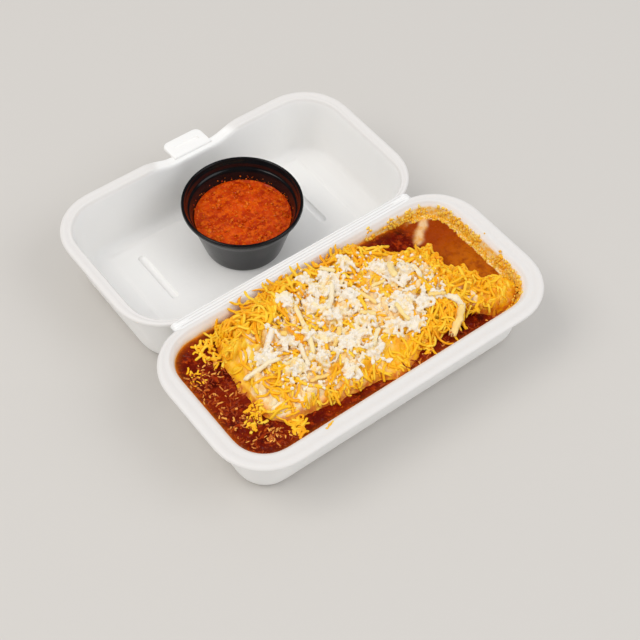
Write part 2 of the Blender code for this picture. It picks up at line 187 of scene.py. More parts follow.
# %% [markdown]
# ## Floor and light
# White foam shows its shape only by soft shadows. One wide, slightly warm window light stands
# to the left of the picture, a weak cool one fills from the right, and a pale sky lights the
# rest. The sky is dimmer where a wet or glossy surface mirrors it, as in a room with dark walls,
# so that sauce keeps its deep colour. The floor is a large pale sheet of light grey.

# %% Floor and light
FLOOR_SIZE = 4.0
FLOOR_LEVEL = -0.4 * MM       # a hair under the box, so that the two never touch
LIGHTS = (   # name, place, size, power and colour of each lamp
    ("window", (-1.25, 0.45, 1.95), 1.4, 18, (1.0, 0.965, 0.92)),
    ("soft fill", (0.9, -1.2, 1.5), 1.4, 10.5, (0.95, 0.97, 1.0)))
LIGHT_AIM = Vector((0, 0, 0.03))
SKY_STRENGTH = 0.74
MIRRORED_SKY_STRENGTH = 0.03


def plain_material(name, colour, roughness):
    """A Principled material with one colour."""
    material = bpy.data.materials.new(name)
    material.use_nodes = True
    shader = material.node_tree.nodes["Principled BSDF"]
    shader.inputs["Base Color"].default_value = (*colour, 1)
    shader.inputs["Roughness"].default_value = roughness
    return material


bpy.ops.mesh.primitive_plane_add(size=FLOOR_SIZE, location=(0, 0, FLOOR_LEVEL))
floor = bpy.context.object
floor.name = "floor"
floor.data.materials.append(plain_material("pale grey floor", (0.63, 0.605, 0.57), 0.8))

for name, place, size, power, colour in LIGHTS:
    bpy.ops.object.light_add(type="AREA", location=place)
    light = bpy.context.object
    light.name = name
    light.data.size = size
    light.data.energy = power
    light.data.color = colour
    light.rotation_euler = (Vector(place) - LIGHT_AIM).to_track_quat("Z", "Y").to_euler()

sky = bpy.data.worlds.new("pale sky")
bpy.context.scene.world = sky
sky.use_nodes = True
background = sky.node_tree.nodes["Background"]
background.inputs["Color"].default_value = (0.98, 0.985, 1.0, 1)
ray = sky.node_tree.nodes.new("ShaderNodeLightPath")
dimmer = sky.node_tree.nodes.new("ShaderNodeMapRange")
dimmer.inputs["To Min"].default_value = SKY_STRENGTH
dimmer.inputs["To Max"].default_value = MIRRORED_SKY_STRENGTH
sky.node_tree.links.new(ray.outputs["Is Glossy Ray"], dimmer.inputs["Value"])
sky.node_tree.links.new(dimmer.outputs["Result"], background.inputs["Strength"])

# %% [markdown]
# ## Shared effects
# Two effects come back in nearly every finish here, so each is a node group that is built once.
# Fine relief is a bump of small cells and soft ripples: on foam it is the skin over its cells,
# on food the grain and wetness. Blotches is a mask of soft spots, which mixes two colours. A
# colour is then built in layers: each layer of spots lies over the ones before it.

# %% Node groups
def add_node(tree, kind, **settings):
    node = tree.nodes.new(kind)
    for name, value in settings.items():
        setattr(node, name, value)
    return node


def new_group(name, inputs, output, output_kind):
    """A shader node group with named number inputs and one output, and its two end nodes."""
    group = bpy.data.node_groups.new(name, "ShaderNodeTree")
    for socket, value in inputs.items():
        made = group.interface.new_socket(socket, in_out="INPUT", socket_type="NodeSocketFloat")
        made.default_value = value
    group.interface.new_socket(output, in_out="OUTPUT", socket_type=output_kind)
    return group, add_node(group, "NodeGroupInput"), add_node(group, "NodeGroupOutput")


fine_relief, taken, given = new_group(
    "Fine relief", {"Cell scale": 500.0, "Ripple scale": 45.0, "Cell share": 0.25, "Strength": 0.3},
    "Normal", "NodeSocketVector")
place = add_node(fine_relief, "ShaderNodeTexCoord")
cells = add_node(fine_relief, "ShaderNodeTexVoronoi", feature="SMOOTH_F1")
ripples = add_node(fine_relief, "ShaderNodeTexNoise")
ripples.inputs["Detail"].default_value = 4
both = add_node(fine_relief, "ShaderNodeMath", operation="MULTIPLY_ADD")
bump = add_node(fine_relief, "ShaderNodeBump")
bump.inputs["Distance"].default_value = 0.0005
for source, target in (
        (place.outputs["Object"], cells.inputs["Vector"]),
        (place.outputs["Object"], ripples.inputs["Vector"]),
        (taken.outputs["Cell scale"], cells.inputs["Scale"]),
        (taken.outputs["Ripple scale"], ripples.inputs["Scale"]),
        (cells.outputs["Distance"], both.inputs[0]), (taken.outputs["Cell share"], both.inputs[1]),
        (ripples.outputs["Fac"], both.inputs[2]), (both.outputs["Value"], bump.inputs["Height"]),
        (taken.outputs["Strength"], bump.inputs["Strength"]),
        (bump.outputs["Normal"], given.inputs["Normal"])):
    fine_relief.links.new(source, target)

blotches, taken, given = new_group(
    "Blotches", {"Scale": 60.0, "Level": 0.5, "Softness": 0.1}, "Mask", "NodeSocketFloat")
place = add_node(blotches, "ShaderNodeTexCoord")
spots = add_node(blotches, "ShaderNodeTexNoise")
spots.inputs["Detail"].default_value = 4
spots.inputs["Roughness"].default_value = 0.6
low = add_node(blotches, "ShaderNodeMath", operation="SUBTRACT")
high = add_node(blotches, "ShaderNodeMath", operation="ADD")
spread = add_node(blotches, "ShaderNodeMapRange", interpolation_type="SMOOTHSTEP")
for source, target in (
        (place.outputs["Object"], spots.inputs["Vector"]),
        (taken.outputs["Scale"], spots.inputs["Scale"]),
        (taken.outputs["Level"], low.inputs[0]), (taken.outputs["Softness"], low.inputs[1]),
        (taken.outputs["Level"], high.inputs[0]), (taken.outputs["Softness"], high.inputs[1]),
        (spots.outputs["Fac"], spread.inputs["Value"]),
        (low.outputs["Value"], spread.inputs["From Min"]),
        (high.outputs["Value"], spread.inputs["From Max"]),
        (spread.outputs["Result"], given.inputs["Mask"])):
    blotches.links.new(source, target)


# %% Helpers for finishes
def use_group(tree, group, values):
    node = add_node(tree, "ShaderNodeGroup")
    node.node_tree = group
    for name, value in values.items():
        node.inputs[name].default_value = value
    return node.outputs[0]


def spots_mask(tree, scale, level, softness):
    return use_group(tree, blotches, {"Scale": scale, "Level": level, "Softness": softness})


def feed(tree, socket, value):
    """Link the output of a node to a socket, or set the socket to a number or a colour."""
    if isinstance(value, bpy.types.NodeSocket):
        tree.links.new(value, socket)
    else:
        socket.default_value = (*value, 1) if isinstance(value, tuple) else value


def mix_colour(tree, mask, first, second):
    """Mix two colours by a mask. Each is a value or the output of a node."""
    node = add_node(tree, "ShaderNodeMix", data_type="RGBA")
    for index, value in ((0, mask), (6, first), (7, second)):
        feed(tree, node.inputs[index], value)
    return node.outputs[2]


def spotted(tree, colour, *layers):
    """Lay soft spots over a colour. A layer has the scale, level and softness of its spots,
    and their colour."""
    for scale, level, softness, spot_colour in layers:
        colour = mix_colour(tree, spots_mask(tree, scale, level, softness), colour, spot_colour)
    return colour


def calculate(tree, operation, first, second):
    """The result of one sum, kept between 0 and 1."""
    node = add_node(tree, "ShaderNodeMath", operation=operation, use_clamp=True)
    feed(tree, node.inputs[0], first)
    feed(tree, node.inputs[1], second)
    return node.outputs[0]


def multiply(tree, first, second):
    return calculate(tree, "MULTIPLY", first, second)


def upper_half(tree, value):
    """Stretch the upper half of a value from 0.5 to 1 over the whole range from 0 to 1."""
    return multiply(tree, calculate(tree, "SUBTRACT", value, 0.5), 2.0)


def read_attribute(tree, name):
    return add_node(tree, "ShaderNodeAttribute", attribute_name=name).outputs["Fac"]


def new_finish(name, colour, roughness, relief, **settings):
    """A Principled material with a fine relief. Returns it, its node tree and its shader."""
    material = plain_material(name, colour, roughness)
    tree = material.node_tree
    shader = tree.nodes["Principled BSDF"]
    for socket, value in settings.items():
        shader.inputs[socket.replace("_", " ")].default_value = value
    tree.links.new(use_group(tree, fine_relief, relief), shader.inputs["Normal"])
    return material, tree, shader


def paint(tree, shader, colour):
    tree.links.new(colour, shader.inputs["Base Color"])


def vary_roughness(tree, shader, scale, softness, low, high):
    """Let the roughness run from low to high in soft spots."""
    span = add_node(tree, "ShaderNodeMapRange")
    span.inputs["To Min"].default_value = low
    span.inputs["To Max"].default_value = high
    tree.links.new(spots_mask(tree, scale, 0.5, softness), span.inputs["Value"])
    tree.links.new(span.outputs["Result"], shader.inputs["Roughness"])


# %% [markdown]
# ## Finishes
# Foam is white, a little translucent, and has a soft sheen. Its rims are painted a shade greyer,
# as painted shade, since they catch more light than the hollows of the trays. Where food touched
# the base's wall it is stained orange and crusted, which attributes on the mesh tell the
# material. The cup is black moulded plastic. Sauce and salsa are wet: a clear coat over mottled
# colour. The sauce is warmer at the right end and oily along the wall, and has dried on its edge
# there. Light goes into the white and the melted cheese, so these have subsurface scattering, and
# every loose shred has its own tone.

# %% Foam and plastic
def crust_grains(tree):
    """Colour of the dried crust of sauce, on the foam and on the sauce's own edge."""
    return spotted(tree, (1.0, 0.56, 0.06), (430, 0.5, 0.08, (1.0, 0.82, 0.42)))


def foam_finish(name, stained):
    material, tree, shader = new_finish(
        name, (0.93, 0.915, 0.89), 0.45, {"Strength": 0.22},
        Subsurface_Weight=0.3, Subsurface_Radius=(1.0, 0.97, 0.94), Subsurface_Scale=0.0015)
    cloudy = spotted(tree, (0.935, 0.92, 0.895), (25, 0.5, 0.3, (0.915, 0.905, 0.885)))
    # Painted shade: the rims are mixed towards a greyer colour, so that they catch no more light
    # than the hollows.
    cloudy = mix_colour(tree, read_attribute(tree, "rim"), cloudy, (0.79, 0.765, 0.74))
    if stained:
        stain = read_attribute(tree, "stain")
        broken = multiply(tree, spots_mask(tree, 420, 0.47, 0.12), 0.8)
        reach = multiply(tree, stain, calculate(tree, "ADD", broken, stain))
        pale = mix_colour(tree, reach, cloudy, (1.0, 0.63, 0.15))
        deep = multiply(tree, stain, calculate(tree, "SUBTRACT", stain, 0.55))
        cloudy = mix_colour(tree, deep, pale, (1.0, 0.38, 0.02))
        crust = read_attribute(tree, "crust")
        ragged = calculate(tree, "ADD", spots_mask(tree, 300, 0.5, 0.15), crust)
        cloudy = mix_colour(tree, multiply(tree, crust, ragged), cloudy, crust_grains(tree))
    paint(tree, shader, cloudy)
    vary_roughness(tree, shader, 300, 0.3, 0.38, 0.5)
    return material


lid_foam = foam_finish("white foam", False)
base_foam = foam_finish("white foam with stains", True)

black_plastic, tree, shader = new_finish(
    "black moulded plastic", (0.006, 0.006, 0.007), 0.2,
    {"Cell scale": 900, "Ripple scale": 160, "Cell share": 0.3, "Strength": 0.03},
    Specular_IOR_Level=0.35)
paint(tree, shader, spotted(tree, (0.004, 0.004, 0.005), (120, 0.5, 0.3, (0.008, 0.008, 0.009))))
vary_roughness(tree, shader, 200, 0.25, 0.14, 0.24)

# %% Salsa and sauce
salsa_red, tree, shader = new_finish(
    "wet salsa", (0.5, 0.07, 0.01), 0.25,
    {"Cell scale": 700, "Ripple scale": 420, "Cell share": 0.5, "Strength": 0.35},
    Coat_Weight=0.2, Coat_Roughness=0.06, Specular_IOR_Level=0.15, Subsurface_Weight=0.2,
    Subsurface_Radius=(1.0, 0.2, 0.05), Subsurface_Scale=0.002)
paint(tree, shader, spotted(
    tree, (0.38, 0.016, 0.0005), (95, 0.5, 0.2, (0.66, 0.060, 0.001)),
    (300, 0.56, 0.12, (0.78, 0.11, 0.002)), (900, 0.62, 0.08, (0.85, 0.17, 0.006))))
vary_roughness(tree, shader, 420, 0.2, 0.16, 0.4)

salsa_bit_red, tree, shader = new_finish(
    "tomato bits", (0.6, 0.1, 0.02), 0.22,
    {"Cell scale": 900, "Ripple scale": 500, "Cell share": 0.4, "Strength": 0.3},
    Coat_Weight=0.3, Coat_Roughness=0.08, Specular_IOR_Level=0.2, Subsurface_Weight=0.3,
    Subsurface_Radius=(1.0, 0.3, 0.1), Subsurface_Scale=0.002)
paint(tree, shader, mix_colour(tree, read_attribute(tree, "tone"), (0.52, 0.030, 0.0005),
                               (0.88, 0.17, 0.004)))

chile_red, tree, shader = new_finish(
    "oily chile sauce", (0.2, 0.012, 0.001), 0.3,
    {"Cell scale": 900, "Ripple scale": 420, "Cell share": 0.45, "Strength": 0.4},
    Coat_Weight=0.13, Coat_Roughness=0.08, Specular_IOR_Level=0.1)
brown = spotted(
    tree, (0.105, 0.0030, 0.0003), (90, 0.5, 0.16, (0.20, 0.011, 0.0004)),
    (150, 0.60, 0.07, (0.06, 0.0025, 0.0003)), (340, 0.59, 0.07, (0.34, 0.032, 0.001)),
    (900, 0.66, 0.06, (0.56, 0.12, 0.006)))
warm, oil, streak, crust = (
    read_attribute(tree, name) for name in ("warm", "oil", "streak", "crust"))
mottled = multiply(tree, warm, spots_mask(tree, 260, 0.54, 0.12))
patchy = multiply(tree, oil, calculate(tree, "ADD", spots_mask(tree, 300, 0.5, 0.2), 0.5))
melted_white = spotted(tree, (0.95, 0.50, 0.12), (300, 0.5, 0.15, (0.98, 0.72, 0.40)))
for mask, colour in (
        (multiply(tree, warm, 2.0), (0.36, 0.050, 0.0005)),
        (upper_half(tree, warm), (0.50, 0.12, 0.0005)),
        (multiply(tree, mottled, 0.6), (0.20, 0.016, 0.0004)),
        (patchy, (0.70, 0.17, 0.003)),
        (calculate(tree, "SUBTRACT", oil, 0.55), (1.0, 0.46, 0.03)),
        (multiply(tree, streak, 0.75), melted_white),
        (crust, crust_grains(tree))):
    brown = mix_colour(tree, mask, brown, colour)
paint(tree, shader, brown)
vary_roughness(tree, shader, 380, 0.2, 0.18, 0.45)

# %% Tortilla and cheese
tortilla, tree, shader = new_finish(
    "tortilla soaked in sauce", (0.5, 0.22, 0.07), 0.5,
    {"Cell scale": 400, "Ripple scale": 150, "Cell share": 0.4, "Strength": 0.5},
    Subsurface_Weight=0.15, Subsurface_Radius=(1.0, 0.5, 0.2), Subsurface_Scale=0.002)
paint(tree, shader, spotted(tree, (0.55, 0.27, 0.09), (90, 0.5, 0.15, (0.33, 0.06, 0.008))))


CHEDDAR_GLOW = (1.0, 0.9, 0.5)
WHITE_GLOW = (1.0, 0.95, 0.8)


def cheese_tones(tree, dark, middle, light):
    """A colour that runs between three by the tone of each shred."""
    tone = read_attribute(tree, "tone")
    lower = mix_colour(tree, multiply(tree, tone, 2.0), dark, middle)
    return mix_colour(tree, upper_half(tree, tone), lower, light)


def cheese_finish(name, dark, middle, light, roughness, glow=CHEDDAR_GLOW, depth=0.0):
    """Cheese whose loose pieces each have their own tone. Glow is the colour that light takes
    on inside it, as subsurface radii, and depth is how much of the light goes in."""
    material, tree, shader = new_finish(
        name, middle, roughness,
        {"Cell scale": 900, "Ripple scale": 500, "Cell share": 0.4, "Strength": 0.3},
        Subsurface_Weight=depth, Subsurface_Radius=glow, Subsurface_Scale=0.0012,
        Specular_IOR_Level=0.3)
    tones = cheese_tones(tree, dark, middle, light)
    paint(tree, shader, spotted(tree, tones, (260, 0.64, 0.1, dark)))
    vary_roughness(tree, shader, 500, 0.2, roughness - 0.08, roughness + 0.1)
    return material


cheddar_orange = cheese_finish("cheddar", (1.0, 0.42, 0.004), (1.0, 0.55, 0.008),
                               (1.0, 0.68, 0.05), 0.4)
# The dark tone of the white cheese colours the crumbs deep in the pile: partly painted shade,
# partly fat soaked in.
white_cream = cheese_finish("white cheese", (0.98, 0.62, 0.16), (0.96, 0.76, 0.37),
                            (0.90, 0.82, 0.70), 0.5, WHITE_GLOW, 0.35)
soaked_bits = cheese_finish("bits soaked in sauce", (0.25, 0.02, 0.001), (0.50, 0.08, 0.003),
                            (0.98, 0.46, 0.08), 0.3)
dried_crumbs = cheese_finish("dried orange crumbs", (1.0, 0.50, 0.015), (1.0, 0.62, 0.05),
                             (1.0, 0.74, 0.15), 0.5)

melted, tree, shader = new_finish(
    "melted cheese", (0.9, 0.5, 0.1), 0.32,
    {"Cell scale": 600, "Ripple scale": 300, "Cell share": 0.5, "Strength": 0.5},
    Subsurface_Weight=0.3, Subsurface_Radius=CHEDDAR_GLOW, Subsurface_Scale=0.0015,
    Specular_IOR_Level=0.4)
colour = cheese_tones(tree, (1.0, 0.36, 0.004), (1.0, 0.53, 0.008), (1.0, 0.66, 0.05))
creamy = spotted(tree, (1.0, 0.64, 0.24), (210, 0.5, 0.12, (1.0, 0.82, 0.54)))
colour = mix_colour(tree, read_attribute(tree, "cream"), colour, creamy)
soaked = multiply(tree, read_attribute(tree, "soaked"), spots_mask(tree, 300, 0.46, 0.16))
paint(tree, shader, mix_colour(tree, soaked, colour, (0.66, 0.16, 0.004)))
vary_roughness(tree, shader, 300, 0.2, 0.22, 0.48)

# %% [markdown]
# ## The two halves of the foam box
# Each half is one sheet of foam that was pressed into a tray. A plane with rounded corners
# becomes the edge of the rim. Its top face is inset step by step, over the rim and down the
# wall to the floor, and its lower face goes the same way outside. Along the hinge the rim is
# only half as wide, so there each step is pulled back by half. A subdivision surface then
# rounds the whole tray.

# %% Tray
RIM_HEIGHT = 36 * MM
CREASE_Y = -7.5 * MM
CREASE_GAP = 0.4 * MM
CORNER_RADIUS = 27 * MM
WIDE_RIM = 9 * MM
BASE_LENGTH = 187 * MM
BASE_WIDTH = 92.6 * MM
LID_LENGTH = 172 * MM
LID_WIDTH = 97.6 * MM
CORNER_CUTS = 8
LONG_CUTS = 23
SHORT_CUTS = 9

# Each section gives (inset from the rim's outline, height), in millimetres.
BASE_INSIDE = [
    (0, 35.0), (0.6, 35.7), (1.8, 36.05), (3.2, 36), (4.6, 35.5), (5.8, 35.45), (7.2, 35.75),
    (8.4, 35.3), (9.7, 34), (10.5, 32), (11.3, 25), (12.2, 17), (13.0, 10), (13.6, 6.6),
    (14.6, 4.4), (16.6, 3.2), (20, 2.9)]
BASE_OUTSIDE = [
    (0, 34.2), (0.5, 33.8), (2.2, 33.5), (5, 33.2), (6.8, 32.3), (7.8, 30.5), (8.9, 23),
    (10.2, 14), (11.5, 4.8), (13, 1.5), (15.5, 0.2), (19, 0)]
LID_INSIDE = [
    (0, 35.0), (0.5, 35.7), (1.5, 36.05), (2.6, 36), (3.6, 35.6), (4.4, 35.6), (5.2, 35.8),
    (6, 35.2), (6.6, 34), (7.0, 32), (8.0, 25), (9.1, 17), (10.1, 10), (10.7, 6.4), (11.8, 4.2),
    (13.8, 3.3), (17, 3)]
LID_OUTSIDE = [
    (0, 34.2), (0.4, 33.8), (1.5, 33.5), (2.9, 33.2), (4, 32.4), (4.7, 31), (5.9, 23),
    (7.4, 14), (9.1, 4.8), (11, 1.5), (13.5, 0.2), (17, 0)]


def from_crease(distance, side):
    """World Y of a place so far from the crease, on the base's side (-1) or the lid's (+1)."""
    return CREASE_Y + side * distance


def rounded_outline(length, width, side, height):
    """A plane with rounded corners and evenly cut sides, open in edit mode."""
    centre_y = from_crease(CREASE_GAP + width / 2, side)
    bpy.ops.object.select_all(action="DESELECT")
    bpy.ops.mesh.primitive_plane_add(size=1, location=(0, centre_y, height), enter_editmode=True)
    piece = bpy.context.object
    bpy.ops.transform.resize(value=(length, width, 1))
    bpy.ops.mesh.bevel(offset=CORNER_RADIUS, offset_type="OFFSET", segments=CORNER_CUTS,
                       profile=0.5, affect="VERTICES")
    for axis, cuts in ((0, LONG_CUTS), (1, SHORT_CUTS)):
        least = (length, width)[axis] / 3
        pick(piece, "EDGE", lambda edge: abs(
            edge.verts[0].co[axis] - edge.verts[1].co[axis]) > least)
        bpy.ops.mesh.subdivide(number_cuts=cuts)
        bpy.ops.mesh.select_mode(type="FACE")
        bpy.ops.mesh.select_all(action="SELECT")
        bpy.ops.mesh.dissolve_faces()
    return piece


def big_face(facing):
    """A rule for the one face with many corners that faces up (1) or down (-1)."""
    return lambda face: len(face.verts) > 8 and face.normal.z * facing > 0.5


def follow_section(piece, section, side, facing):
    """Inset the big face that faces up or down along a section, step by step."""
    pick(piece, "FACE", big_face(facing))
    for (inset, height), (next_inset, next_height) in zip(section, section[1:]):
        bpy.ops.mesh.inset(thickness=(next_inset - inset) * MM,
                           depth=facing * (next_height - height) * MM)
        narrowed = min(next_inset * MM, WIDE_RIM) - min(inset * MM, WIDE_RIM)
        shape = bmesh.from_edit_mesh(piece.data)
        face = next(face for face in shape.faces if face.select)
        for corner in face.verts:
            if corner.co.y * side < 0:
                corner.co.y -= side * narrowed / 2
        bmesh.update_edit_mesh(piece.data)


def grid_over(piece, facing):
    """Put a regular grid in the place of the big face."""
    pick(piece, "FACE", big_face(facing))
    bpy.ops.mesh.delete(type="ONLY_FACE")
    pick(piece, "EDGE", lambda edge: edge.is_boundary)
    bpy.ops.mesh.fill_grid(span=LONG_CUTS + 1 + CORNER_CUTS, offset=CORNER_CUTS // 2)


def tray(length, width, side, inside, outside):
    """A tray on one side of the crease, from the sections of its inner and outer face."""
    edge_low, edge_high = outside[0][1] * MM, inside[0][1] * MM
    piece = rounded_outline(length, width, side, edge_low)
    bpy.ops.mesh.select_all(action="SELECT")
    bpy.ops.mesh.extrude_region_move(TRANSFORM_OT_translate={"value": (0, 0, edge_high - edge_low)})
    face_outward()
    follow_section(piece, outside, side, -1)
    follow_section(piece, inside, side, 1)
    for facing in (-1, 1):
        grid_over(piece, facing)
    close_mesh()
    add_modifier(piece, "SUBSURF", levels=2, render_levels=2)
    return piece


foam_base = tray(BASE_LENGTH, BASE_WIDTH, -1, BASE_INSIDE, BASE_OUTSIDE)
foam_lid = tray(LID_LENGTH, LID_WIDTH, 1, LID_INSIDE, LID_OUTSIDE)

# %% [markdown]
# ## Front of the lid
# The lid's far rim dips in a wide notch with a latch tab in its middle, and the wall under the
# tab bulges outwards. The points of the tray are moved by a smooth rule. The tab is a small
# block with round corners and a fold line, joined to the rim by a Boolean. The floor of the
# lid has a raised panel and two short pressed grooves, cut by capsule shapes.

# %% Shape the lid
TAB_OFFSET = 4 * MM
TAB_WIDTH = 23 * MM
TAB_REACH = 10 * MM
TAB_ROOT = 3.4 * MM           # the tab starts this far inside the rim's outline
TAB_THICKNESS = 2.2 * MM
NOTCH_DEPTH = 4.5 * MM
NOTCH_HALF_WIDTH = 30 * MM
POCKET_DEPTH = 2.5 * MM
LID_FLOOR = 3 * MM
PANEL_RISE = 0.7 * MM
GROOVE_RADIUS = 2.4 * MM
GROOVE_DEPTH = 1.3 * MM
GROOVES = [(-46.7, 32, 62), (44.5, 29, 62)]   # x, and y of both ends, in millimetres
PANEL_HALF_LENGTH = 61 * MM
PANEL_HALF_WIDTH = 30 * MM
PANEL_SHIFT = 2 * MM          # the panel lies this far behind the lid's middle
PANEL_EDGE = 1.6 * MM
TAB_CORNER = 3.8 * MM
TAB_EDGE = 0.8 * MM
TAB_TILT = math.radians(4)
FOLD_RADIUS = 1.2 * MM
FOLD_LENGTH = 15 * MM
FOLD_OFFSET = 3.4 * MM        # from the rim's outline to the fold across the tab

points = read_points(foam_lid)
middle = from_crease(LID_WIDTH / 2, 1) - foam_lid.location.y
far = points[:, 1] > middle
height = points[:, 2] + foam_lid.location.z
beside_tab = np.abs(points[:, 0] - TAB_OFFSET)
notch = smooth_step(1.6 - 1.6 * beside_tab / NOTCH_HALF_WIDTH)
pocket = smooth_step(1.7 - 1.7 * beside_tab / (0.75 * TAB_WIDTH))
dip = smooth_step((height - LID_FLOOR) / (RIM_HEIGHT - LID_FLOOR))
bulge = np.sin(math.pi * np.clip(height / RIM_HEIGHT, 0, 1)) * (height > LID_FLOOR)
points[:, 2] -= far * NOTCH_DEPTH * dip * notch
points[:, 1] += far * POCKET_DEPTH * pocket * bulge * (points[:, 1] - middle) / (LID_WIDTH / 2)
inner_floor = (height > 2.6 * MM) & (height < 3.4 * MM)
from_side = PANEL_HALF_LENGTH - np.abs(points[:, 0])
from_end = PANEL_HALF_WIDTH - np.abs(points[:, 1] - middle - PANEL_SHIFT)
panel = smooth_step(np.minimum(from_side, from_end) / PANEL_EDGE)
points[:, 2] += inner_floor * PANEL_RISE * panel
write_points(foam_lid, points)


def capsule(x, low_y, high_y, centre_z, radius):
    """A bar with round ends that lies along Y."""
    bpy.ops.object.select_all(action="DESELECT")
    bpy.ops.mesh.primitive_uv_sphere_add(segments=24, ring_count=16, radius=radius,
                                         location=(x, low_y, centre_z), enter_editmode=True)
    bar = bpy.context.object
    bpy.ops.transform.rotate(value=math.radians(90), orient_axis="X",
                             center_override=(x, low_y, centre_z))
    pick(bar, "VERT", lambda corner: corner.co.y > 1e-6)
    bpy.ops.transform.translate(value=(0, high_y - low_y, 0))
    close_mesh()
    return bar


def combine(piece, other, operation):
    """Join or cut a piece with another one, which is used up."""
    add_modifier(piece, "BOOLEAN", operation=operation, object=other, solver="EXACT")
    bpy.data.objects.remove(other, do_unlink=True)


tab_middle = from_crease(CREASE_GAP + LID_WIDTH + (TAB_REACH - TAB_ROOT) / 2, 1)
tab_height = RIM_HEIGHT - NOTCH_DEPTH - 0.7 * MM
bpy.ops.object.select_all(action="DESELECT")
bpy.ops.mesh.primitive_cube_add(size=1, location=(TAB_OFFSET, tab_middle, tab_height),
                                enter_editmode=True)
tab = bpy.context.object
bpy.ops.transform.resize(value=(TAB_WIDTH, TAB_REACH + TAB_ROOT, TAB_THICKNESS))
pick(tab, "EDGE", lambda edge: min(corner.co.y for corner in edge.verts) > 0
     and abs(edge.verts[0].co.z - edge.verts[1].co.z) > MM)
bpy.ops.mesh.bevel(offset=TAB_CORNER, segments=8, profile=0.5)
pick(tab, "FACE", lambda face: abs(face.normal.z) > 0.9)
bpy.ops.mesh.region_to_loop()
bpy.ops.mesh.bevel(offset=TAB_EDGE, segments=4, profile=0.5)
bpy.ops.mesh.select_all(action="SELECT")
bpy.ops.transform.rotate(value=TAB_TILT, orient_axis="X", center_override=tuple(tab.location))
close_mesh()
fold_y = from_crease(CREASE_GAP + LID_WIDTH + FOLD_OFFSET, 1)
bpy.ops.object.select_all(action="DESELECT")
bpy.ops.mesh.primitive_cylinder_add(vertices=32, radius=FOLD_RADIUS, depth=FOLD_LENGTH,
                                    rotation=(0, math.radians(90), 0),
                                    location=(TAB_OFFSET, fold_y, tab_height + 1.45 * MM))
fold = bpy.context.object
combine(tab, fold, "DIFFERENCE")
combine(foam_lid, tab, "UNION")
top = LID_FLOOR + PANEL_RISE + GROOVE_RADIUS - GROOVE_DEPTH
for x, low_y, high_y in GROOVES:
    combine(foam_lid, capsule(x * MM, low_y * MM, high_y * MM, top, GROOVE_RADIUS), "DIFFERENCE")

# %% [markdown]
# ## The hinge
# The two halves are one sheet of foam. Between them runs a flat band with fine pressed lines,
# where it folds. The rims are flattened along the band, and a thin strip lies over the gap.

# %% Flat band along the crease
BAND_TOP = 36.05 * MM
BAND_HALF_LENGTH = 71.5 * MM
BAND_SINK = 0.15 * MM         # the rims lie this far under the top of the strip
BAND_END = 6 * MM


def flatten_band(piece, reach):
    """Flatten the top of a rim within a reach of the crease."""
    points = placed_points(piece)
    beside = 1 - smooth_step((np.abs(points[:, 1] - CREASE_Y) - reach) / (1.2 * MM))
    along = 1 - smooth_step((np.abs(points[:, 0]) - BAND_HALF_LENGTH + BAND_END) / BAND_END)
    on_top = points[:, 2] > 35.1 * MM
    share = beside * along * on_top
    points[:, 2] += share * (BAND_TOP - BAND_SINK - points[:, 2])
    write_placed(piece, points)


flatten_band(foam_base, 3.4 * MM)
flatten_band(foam_lid, 2.2 * MM)

STRIP_HALF_WIDTH = 3.2 * MM
STRIP_MIDDLE = CREASE_Y + 0.4 * MM
STRIP_THICKNESS = 0.9 * MM
HINGE_LINES = [-1.3 * MM, 0.3 * MM, 1.9 * MM]   # places of the pressed lines across the strip
LINE_DEPTH = 0.3 * MM
LINE_WIDTH = 0.28 * MM
bpy.ops.object.select_all(action="DESELECT")
bpy.ops.mesh.primitive_grid_add(x_subdivisions=72, y_subdivisions=56, size=1,
                                location=(0, STRIP_MIDDLE, BAND_TOP), enter_editmode=True)
hinge_strip = bpy.context.object
bpy.ops.transform.resize(value=(2 * BAND_HALF_LENGTH, 2 * STRIP_HALF_WIDTH, 1))
close_mesh()
points = read_points(hinge_strip)
for line in HINGE_LINES:
    points[:, 2] -= LINE_DEPTH * np.exp(-((points[:, 1] - line) / LINE_WIDTH) ** 2)
edge_room = STRIP_HALF_WIDTH - np.abs(points[:, 1])
points[:, 2] -= 0.45 * MM * (1 - smooth_step(edge_room / (0.8 * MM)))
end_room = BAND_HALF_LENGTH - np.abs(points[:, 0])
points[:, 2] -= 0.5 * MM * (1 - smooth_step(end_room / (1.2 * MM)))
points[:, 1] *= 1 - 0.35 * (1 - smooth_step(end_room / (3 * MM)))
write_points(hinge_strip, points)
add_modifier(hinge_strip, "SOLIDIFY", thickness=STRIP_THICKNESS, offset=-1)

settle(foam_base, "foam_base")
settle(foam_lid, "foam_lid")
settle(hinge_strip, "hinge_strip")
select_only(foam_lid)
bpy.ops.object.shade_smooth_by_angle(angle=math.radians(35))

# %% [markdown]
# ## The salsa cup
# A portion cup is one thin shell that is the same all round, so its outline is drawn once
# and spun about the axis. The rolled rim, the stacking step under it and the foot ring are in
# that outline.

# %% Cup
CUP_CENTRE = Vector((2.3 * MM, from_crease(48.3 * MM, 1), LID_FLOOR + 0.4 * MM))
CUP_OUTLINE = [   # (radius, height above the cup's underside), in millimetres
    (0, 1.0), (17.2, 1.0), (18.0, 0.3), (18.8, 0), (19.8, 0.05), (20.4, 0.6), (20.95, 2.2),
    (24.2, 13.3), (27.4, 24.2), (27.65, 24.9), (28.5, 25.4), (28.85, 26), (29.5, 28.6),
    (29.8, 29.1), (30.3, 29.2), (30.85, 29.25), (31, 29.7), (31, 30.7), (30.8, 31.3),
    (30.2, 31.6), (29.7, 31.5), (29.35, 31.1), (29.1, 30.2), (28.6, 29.3), (28.35, 28.9),
    (28.0, 27.0), (27.75, 26.4), (26.95, 26.0), (26.6, 25.3), (23.3, 13.9), (20.05, 2.9),
    (19.4, 2.0), (18.3, 1.8), (0, 1.8)]
CUP_STEPS = 72


